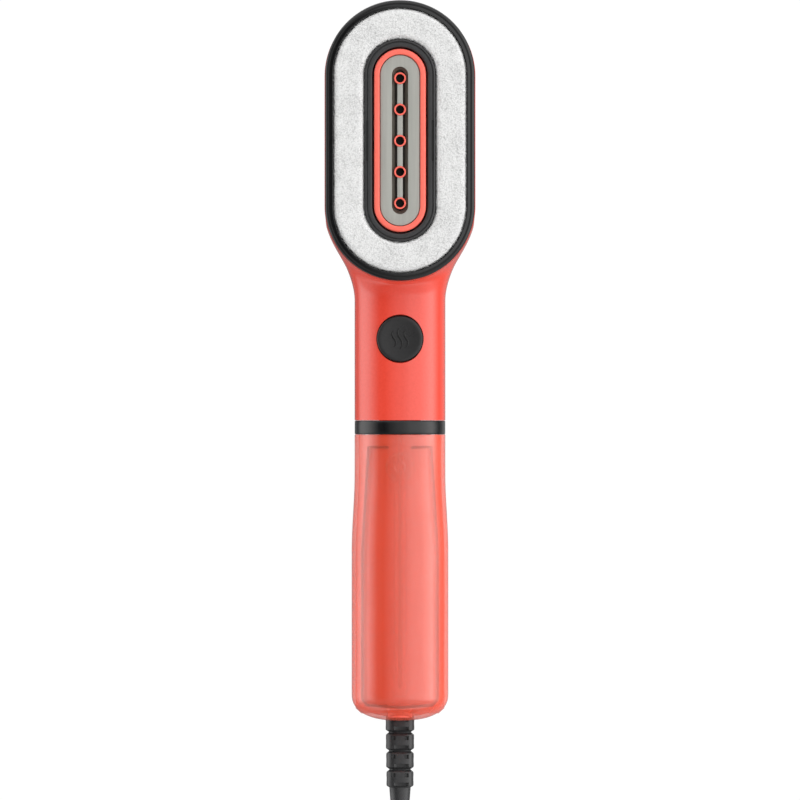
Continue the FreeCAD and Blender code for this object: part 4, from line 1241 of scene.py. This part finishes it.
# ------------------------------------------------------------------ head
@dataclass
class SteamHead:
    """Everything on the steam face: bezel, rings, plate and steam eyelets."""

    nozzle_middle: float = 97.75
    nozzle_pitch: float = 13.85

    def bezel(self) -> None:
        """The black rim in two steps with a fine groove between them."""
        profile = rounded([(29.75, 54.0, 0), (29.75, 59.75, 0.3), (31.3, 59.4, 0.12), (31.4, 58.5, 0),
                           (31.8, 58.5, 0), (31.85, 59.95, 0.15), (32.8, 59.55, 0.25), (33.15, 58.8, 0.3),
                           (33.15, 56.05, 0), (31.0, 56.05, 0), (31.0, 52.0, 0), (11.9, 52.0, 0), (11.9, 54.0, 0)])
        rim = stadium_sweep("bezel", profile, arc_steps=88, smooth_angle=32)
        place_piece(rim, "body", Slot.BLACK_GLOSS, "head_bezel")

    def inner_ring(self) -> None:
        """The black ring inside the pad, with a long vent slot on each side."""
        profile = rounded([(11.72, 54.1, 0), (11.72, 56.2, 0), (12.3, 59.2, 0.3), (12.6, 59.5, 0.2),
                           (14.35, 59.5, 0.15), (14.45, 58.8, 0), (14.75, 58.8, 0), (14.85, 59.72, 0.15),
                           (15.6, 59.7, 0.4), (15.85, 59.0, 0.3), (15.85, 54.1, 0)])
        ring = stadium_sweep("inner_ring_face", profile, arc_steps=72)
        cutters = []
        for side in (-1, 1):
            x = side * 14.55
            outline = [(x + 0.5 * math.cos(a), HEAD_Y + 8.6 * math.copysign(1, math.sin(a)) + 0.5 * math.sin(a))
                       for a in (math.pi * (i + 0.5) / 12 for i in range(24))]
            points = [(px, py, z) for z in (57.4, 61.0) for px, py in outline]
            faces = rings_faces(2, 24, False, True) + [list(range(24)), list(range(24, 48))]
            cutters.append(mesh_from("slot", points, faces))
        cut_out(ring, cutters)
        place_piece(ring, "body", Slot.BLACK_SATIN, "inner_ring")

    def heat_ring(self) -> None:
        """The coral ring that carries the plate."""
        profile = rounded([(8.98, 50.1, 0), (8.98, 59.6, 0.3), (9.4, 60.0, 0.3), (10.9, 59.95, 0.3),
                           (11.5, 59.3, 0.4), (11.6, 50.1, 0)])
        ring = stadium_sweep("coral_ring", profile, arc_steps=72)
        place_piece(ring, "body", Slot.CORAL_SATIN, "heat_ring")

    def nozzle_ys(self) -> list[float]:
        """The places of the steam outlets."""
        return [self.nozzle_middle + (i - 2) * self.nozzle_pitch for i in range(5)]

    def plate(self) -> None:
        """The steam plate, with its long groove and the rib in it, and painted shade in the groove."""
        profile = rounded([(0.0, 47.0, 0), (8.7, 47.0, 0), (8.7, 59.2, 0.25), (3.6, 59.2, 0.1), (3.4, 57.9, 0.1),
                           (2.1, 57.0, 0.1), (1.9, 53.5, 0), (1.3, 53.5, 0), (1.2, 58.9, 0.25), (0.0, 58.95, 0)])
        plate = stadium_sweep("steam_plate_face", profile, closed=False, arc_steps=64)
        cut_out(plate, [lathe("bore", [(0, 40), (2.68, 40), (2.68, 70), (0, 70)], (0, y, 0), 48)
                        for y in self.nozzle_ys()])
        plate = place_piece(plate, "body", Slot.PLATE, "steam_plate")
        # The groove's faces take a darker, browner finish: painted shade in the recess beside the rib.
        plate.data.materials.append(PlateCoating("painted groove shade", (0.10, 0.088, 0.07)).build())
        for face in plate.data.polygons:
            middle = face.center / MM
            from_spine = math.hypot(middle.x, max(abs(middle.y - HEAD_Y) - HEAD_STRAIGHT / 2, 0.0))
            face.material_index = int(1.25 < from_spine < 3.55 and 50.0 < middle.z < 59.0)

    def eyelets(self) -> None:
        """The five coral eyelets in the plate, with painted shade down their bores."""
        profile = rounded([(1.8, 47.0, 0), (1.8, 58.5, 0.2), (2.02, 59.35, 0.15), (2.45, 59.42, 0.15),
                           (2.62, 59.1, 0.15), (2.62, 47.0, 0)])
        work = bmesh.new()
        for y in self.nozzle_ys():
            eyelet = lathe("eyelet", profile, (0, y, 0), 48, closed=True)
            work.from_mesh(eyelet.data)
            bpy.data.objects.remove(eyelet)
            # A near-black disc down each bore paints the shade of the deep hole.
            depth = lathe("bore_shade_disc", [(0.0, 56.4), (1.82, 56.4), (1.82, 55.9), (0.0, 55.9)], (0, y, 0), 32)
            work.from_mesh(depth.data)
            bpy.data.objects.remove(depth)
        mesh = bpy.data.meshes.new("steam_eyelets")
        work.to_mesh(mesh)
        work.free()
        shade(mesh, 35)
        eyelets = place_piece(add_object("steam_eyelets", mesh), "body", Slot.CORAL_SATIN, "nozzle_eyelets")
        # The bores' inner walls take a near-black finish: painted shade in the holes.
        eyelets.data.materials.append(Rubber("painted bore shade", (0.003, 0.0025, 0.0025), 0.9).build())
        for face in eyelets.data.polygons:
            middle = face.center / MM
            from_axis = min(math.hypot(middle.x, middle.y - y) for y in self.nozzle_ys())
            face.material_index = int(from_axis < 1.95 and middle.z < 58.9)

    def build(self) -> None:
        """Makes every piece of the head's face."""
        self.bezel()
        self.inner_ring()
        self.heat_ring()
        self.plate()
        self.eyelets()


@dataclass
class FabricPad:
    """The pull-off pad: a crowned ring of looped microfibre with a fuzzy edge."""

    outer: float = 29.55
    inner: float = 15.95
    low: float = 56.02
    crown: float = 60.3
    fibres: int = 5200
    fibre_length: float = 1.1
    fibre_radius: float = 0.07
    fibre_top: float = 60.35
    highest_dent: float = 0.12
    middle_radius: float = 23.0

    def height(self, share: float) -> float:
        """The crowned height at a share of the way across, from 0 at the inner edge to 1."""
        edge = min(share, 1 - share) * 2
        return self.low + (self.crown - self.low) * (1 - (1 - min(edge * 2.4, 1.0)) ** 2.6) ** (1 / 2.6)

    def cushion(self) -> bpy.types.Object:
        """The pad's body, with soft dents and a ragged outline.

        Returns:
            The piece, not yet dressed.
        """
        across = 30
        profile = [(self.inner + (self.outer - self.inner) * i / across, self.height(i / across))
                   for i in range(across + 1)]
        profile += [(self.outer - (self.outer - self.inner) * i / 6, self.low) for i in range(1, 6)]
        pad = stadium_sweep("fabric_pad", profile, arc_steps=150, straight_steps=90, smooth_angle=180)
        for vertex in pad.data.vertices:
            x, y, z = vertex.co / MM
            if z < self.low + 0.3:
                continue
            place = Vector((x, y, z))
            swell = noise.noise(place * 0.16) * 0.16 + noise.noise(place * 0.7) * 0.12
            knot = noise.noise(place * 2.1) * 0.16
            ragged = noise.noise(Vector((x * 1.7, y * 1.7, 7.0))) * 0.3
            spine = min(max(y, HEAD_Y - HEAD_STRAIGHT / 2), HEAD_Y + HEAD_STRAIGHT / 2)
            out = Vector((x, y - spine, 0)).normalized()
            loose = 1.0 if z < self.crown - 0.4 else 0.3
            vertex.co = (place + out * ragged * loose + Vector((0, 0, min(swell + knot, self.highest_dent)))) * MM
        return pad

    def fuzz(self) -> bpy.types.Object:
        """Short loops of yarn that stand out of the pad.

        Returns:
            The piece, not yet dressed.
        """
        picks = np.random.default_rng(7)
        points: list[Point] = []
        faces: list[list[int]] = []
        total = 2 * HEAD_STRAIGHT + 2 * math.pi * self.middle_radius
        for _ in range(self.fibres):
            share = float(picks.uniform(0.015, 0.985))
            if picks.uniform() < 0.45:
                share = float(picks.choice([picks.uniform(0.0, 0.05), picks.uniform(0.95, 1.0)]))
            radius = self.inner + (self.outer - self.inner) * share
            along = float(picks.uniform(0, total))
            x, y = self.spot(along, radius)
            base = np.array([x, y, self.height(share) - 0.12])
            way = picks.normal(size=3) * np.array([1.0, 1.0, 0.45])
            way /= np.linalg.norm(way)
            arc = np.array([0.0, 0.0, 1.0])
            side = np.cross(way, arc)
            side /= max(np.linalg.norm(side), 1e-6)
            start = len(points)
            length = self.fibre_length * picks.uniform(0.6, 1.25)
            for k in range(4):
                t = k / 3
                centre = base + way * length * (t - 0.5) + arc * 0.3 * math.sin(math.pi * t)
                centre[2] = min(centre[2], self.fibre_top)
                for j in range(3):
                    a = 2 * math.pi * j / 3
                    offset = side * math.cos(a) * self.fibre_radius + arc * math.sin(a) * self.fibre_radius
                    points.append(tuple(centre + offset))
            faces += rings_faces(4, 3, False, True, start)
            faces += [[start, start + 2, start + 1], [start + 9, start + 10, start + 11]]
        mesh = bpy.data.meshes.new("pad_fuzz")
        mesh.from_pydata([(x * MM, y * MM, z * MM) for x, y, z in points], [], faces)
        shade(mesh, 60)
        return add_object("pad_fuzz", mesh)

    def spot(self, along: float, radius: float) -> tuple[float, float]:
        """A place on the ring at a distance along it.

        Args:
            along: the distance, anticlockwise from the right-hand end of the upper arc.
            radius: how far from the head's spine.

        Returns:
            The place as (x, y).
        """
        arc = math.pi * self.middle_radius
        for end in (1, -1):
            centre = HEAD_Y + end * HEAD_STRAIGHT / 2
            if along < arc:
                a = along / self.middle_radius + (0 if end > 0 else math.pi)
                return radius * math.cos(a), centre + radius * math.sin(a)
            along -= arc
            if along < HEAD_STRAIGHT:
                return -end * radius, centre - end * along
            along -= HEAD_STRAIGHT
        return radius, HEAD_Y

    def build(self) -> None:
        """Makes the pad and its fuzz."""
        pad = place_piece(self.cushion(), "pad", Slot.FABRIC, "pad_cloth")
        fuzz = place_piece(self.fuzz(), "pad", Slot.FABRIC)
        log.info("%s carries %s", pad.name, fuzz.name)


# ------------------------------------------------------------------ thumb button
@dataclass
class ThumbButton:
    """The round steam button, dished, with a raised sign of rising steam."""

    radius: float = 10.1
    top: float = 44.4
    low: float = 41.4

    def wisp(self, x: float, length: float, swing: float) -> list[tuple[float, float, float]]:
        """One wavy line of steam as (x, y, half width) along its middle.

        Args:
            x: where it stands.
            length: how long it is.
            swing: how far it waves.

        Returns:
            The line's points.
        """
        out = []
        for i in range(17):
            t = i / 16
            half = 0.62 * math.sin(math.pi * min(max(t, 0.04), 0.96)) ** 0.5
            out.append((x + swing * math.sin(2 * math.pi * t * 0.95), BUTTON_Y + length * (t - 0.5), half))
        return out

    def sign(self) -> bpy.types.Object:
        """Three wisps of steam, raised a little from the cap.

        Returns:
            The piece, not yet dressed.
        """
        points: list[Point] = []
        faces: list[list[int]] = []
        for x, length, swing in ((-2.7, 7.4, 0.85), (0.0, 9.4, 1.0), (2.7, 7.4, 0.85)):
            start = len(points)
            line = self.wisp(x, length, swing)
            for px, py, half in line:
                for across, z in ((-1.0, 0.0), (-0.85, 0.24), (0.0, 0.34), (0.85, 0.24), (1.0, 0.0)):
                    points.append((px + across * half, py, self.top - 0.34 + z))
            faces += rings_faces(len(line), 5, False, False, start)
        return mesh_from("button_sign", points, faces, 60)

    def build(self) -> None:
        """Makes the cap and its sign."""
        profile = rounded([(0, self.top - 0.34, 0), (5.0, self.top - 0.28, 2.0), (9.0, self.top, 1.0),
                           (self.radius, self.top - 0.15, 0.8), (self.radius, self.low, 0.2), (4.0, self.low, 0.2),
                           (4.0, 33.25, 0.2), (0, 33.25, 0)], steps=6)
        cap = lathe("thumb_button", profile, (0, BUTTON_Y, 0), 96, smooth_angle=50)
        place_piece(cap, "button", Slot.BLACK_SATIN, "button_cap",
                    finish=GlossPlastic("button moulding", (0.014, 0.014, 0.0145), 0.3, 0.3))
        place_piece(self.sign(), "button", Slot.BLACK_SATIN,
                    finish=GlossPlastic("button sign", (0.003, 0.003, 0.003), 0.2, 0.25))


# ------------------------------------------------------------------ tank
@dataclass
class Tank:
    """The see-through tank: its outer skin, the back wall over the core and a dark line of painted shade round the
    core's outline.
    """

    wall: float = 1.8
    skirt_z: float = 6.5
    end_round: float = 12.0
    end_power: float = 2.4
    widen_top: float = -50.0
    widen_end: float = -84.0
    half: float = 21.5
    count: int = 144

    def half_width(self, y: float) -> float:
        """Half the tank's width at y."""
        return GRIP_HALF + (self.half - GRIP_HALF) * float(
            smoothstep((self.widen_top - y) / (self.widen_top - self.widen_end)))

    def skin(self) -> list[tuple[float, list[tuple[float, float]]]]:
        """Sections of the tank's form from its open top to its rounded end.

        Returns:
            (y, points) of each section.
        """
        turn = TANK_END + self.end_round
        sections = [(float(y), superellipse(self.half_width(float(y)), 0.0, GRIP_DEPTH, GRIP_POWER, self.count))
                    for y in [TANK_TOP, *np.linspace(-38.0, turn, 30)]]
        for a in np.radians(np.linspace(4.0, 88.0, 26)):
            along, size = math.sin(a) ** (2 / self.end_power), math.cos(a) ** (2 / self.end_power)
            deep = GRIP_DEPTH / 2 * size
            sections.append((turn - self.end_round * along,
                             superellipse(self.half * size, GRIP_DEPTH / 2 - deep, GRIP_DEPTH / 2 + deep,
                                          GRIP_POWER, self.count)))
        return sections

    def shell(self) -> bpy.types.Object:
        """The outer skin with its thickness, open behind and at the top.

        Returns:
            The piece, not yet dressed.
        """
        body = loft("tank_outer", self.skin(), smooth_angle=60)
        work = bmesh.new()
        work.from_mesh(body.data)
        top = [f for f in work.faces if all(abs(v.co.y - TANK_TOP * MM) < 1e-6 for v in f.verts)]
        bmesh.ops.delete(work, geom=top, context="FACES")
        bmesh.ops.bisect_plane(work, geom=work.verts[:] + work.edges[:] + work.faces[:], dist=1e-7,
                               plane_co=(0, 0, self.skirt_z * MM), plane_no=(0, 0, 1), clear_inner=True)
        work.to_mesh(body.data)
        work.free()
        thicken = body.modifiers.new("wall", "SOLIDIFY")
        thicken.thickness, thicken.offset = self.wall * MM, -1.0
        settle(body, 60)
        return body

    def floor(self) -> bpy.types.Object:
        """The tank's back wall over the core, with the slot's sides.

        Returns:
            The piece, not yet dressed.
        """
        core_top, core_low, top_y, low_y = 14.7, 17.2, TANK_TOP - 0.4, -154.9
        path = [(-core_top, top_y), (-core_low, -88.0), (-core_low, low_y + 2.0), (-core_low + 2.0, low_y),
                (core_low - 2.0, low_y), (core_low, low_y + 2.0), (core_low, -88.0), (core_top, top_y)]
        points: list[Point] = []
        for x, y in path:
            points += [(x * 1.12, y if y > -150 else y - 1.6, 7.0), (x * 1.05, y, 18.5), (x * 0.985, y, 20.4)]
        faces = rings_faces(len(path), 3, False, False)
        faces.append([2 + 3 * i for i in range(len(path))])
        sheet = mesh_from("tank_back_wall", points, faces, 40)
        thicken = sheet.modifiers.new("wall", "SOLIDIFY")
        thicken.thickness, thicken.offset = 1.2 * MM, 0.0
        settle(sheet, 40)
        return sheet

    def painted_outline_shade(self) -> bpy.types.Object:
        """Painted shade: a dark line inside the front wall, round the window over the core, standing in for the
        shade at the core's edges.

        Returns:
            The piece, not yet dressed.
        """
        corners = [(-14.0, -37.9), (-16.75, -84.0), (-16.75, -150.5), (-14.6, -152.9), (0.0, -153.9), (14.6, -152.9),
                   (16.75, -150.5), (16.75, -84.0), (14.0, -37.9)]
        line = rounded([(x, y, 1.2 if 0 < i < len(corners) - 1 else 0) for i, (x, y) in enumerate(corners)])
        line = [(-5.0, -38.3), (-13.0, -38.1)] + line + [(13.0, -38.1), (5.0, -38.3)]
        path = np.array(line)
        along = np.gradient(path, axis=0)
        along /= np.linalg.norm(along, axis=1)[:, None]
        points: list[Point] = []
        for (x, y), (dx, dy) in zip(path, along):
            for across, deep in ((-0.6, 1.2), (-0.5, 0.4), (0.5, 0.4), (0.6, 1.2)):
                px, py = x - dy * across, y + dx * across
                share = min(abs(px) / (self.half_width(py) - deep), 1.0)
                rise = (GRIP_DEPTH / 2 - deep) * (1 - share ** GRIP_POWER) ** (1 / GRIP_POWER)
                if py < TANK_END + self.end_round:
                    past = (TANK_END + self.end_round - py) / (self.end_round - deep)
                    rise *= max(1 - past ** self.end_power, 0.0) ** (1 / self.end_power)
                points.append((px, py, GRIP_DEPTH / 2 + rise))
        return mesh_from("tank_painted_outline_shade", points, rings_faces(len(path), 4, False, True), 40)

    def build(self) -> None:
        """Makes the tank's shell, back wall and the dark line of painted shade round the core."""
        place_piece(self.shell(), "tank", Slot.TANK, "tank_shell")
        place_piece(self.floor(), "tank", Slot.TANK)
        # A near-black line that paints the shade along the core's outline seen through the tank.
        place_piece(self.painted_outline_shade(), "tank", Slot.TANK,
                    finish=SatinPlastic("painted outline shade", (0.012, 0.003, 0.003), 0.5, 0.004))


# ------------------------------------------------------------------ carried-over pieces
SPECIAL: dict[str, Finish] = {
    **dict.fromkeys(("suction_hose", "suction_filter", "valve_cage", "tank_seal"),
                    ClearPlastic("clear tank fittings", (0.93, 0.2, 0.14), 0.2, 0.6, 1.3)),
    **dict.fromkeys(("filler_plug", "valve_poppet"), Rubber("coral silicone", (0.8, 0.10, 0.06), 0.42, 0.2)),
}


def dress_nodes(frame: dict) -> None:
    """Gives every shown CAD node its slot's finish.

    Args:
        frame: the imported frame.
    """
    slots = {part["node"]: part["material_slot"] for part in frame["record"]["subparts"]}
    for name, node in frame["nodes"].items():
        finish = SPECIAL.get(name, FINISHES[Slot(slots[name])])
        node.data.materials.clear()
        node.data.materials.append(finish.build())
        log.info("%s is dressed as %s", name, finish.name)


def main() -> None:
    """Builds the steamer's looks in order."""
    logging.basicConfig(level=logging.INFO, format="%(name)s: %(message)s")
    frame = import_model()
    dress_nodes(frame)
    Studio().build()
    MainsLead().build(frame["nodes"])
    Casings().build()
    Collar().build()
    SteamHead().build()
    FabricPad().build()
    ThumbButton().build()
    Tank().build()


if __name__ == "__main__":
    main()
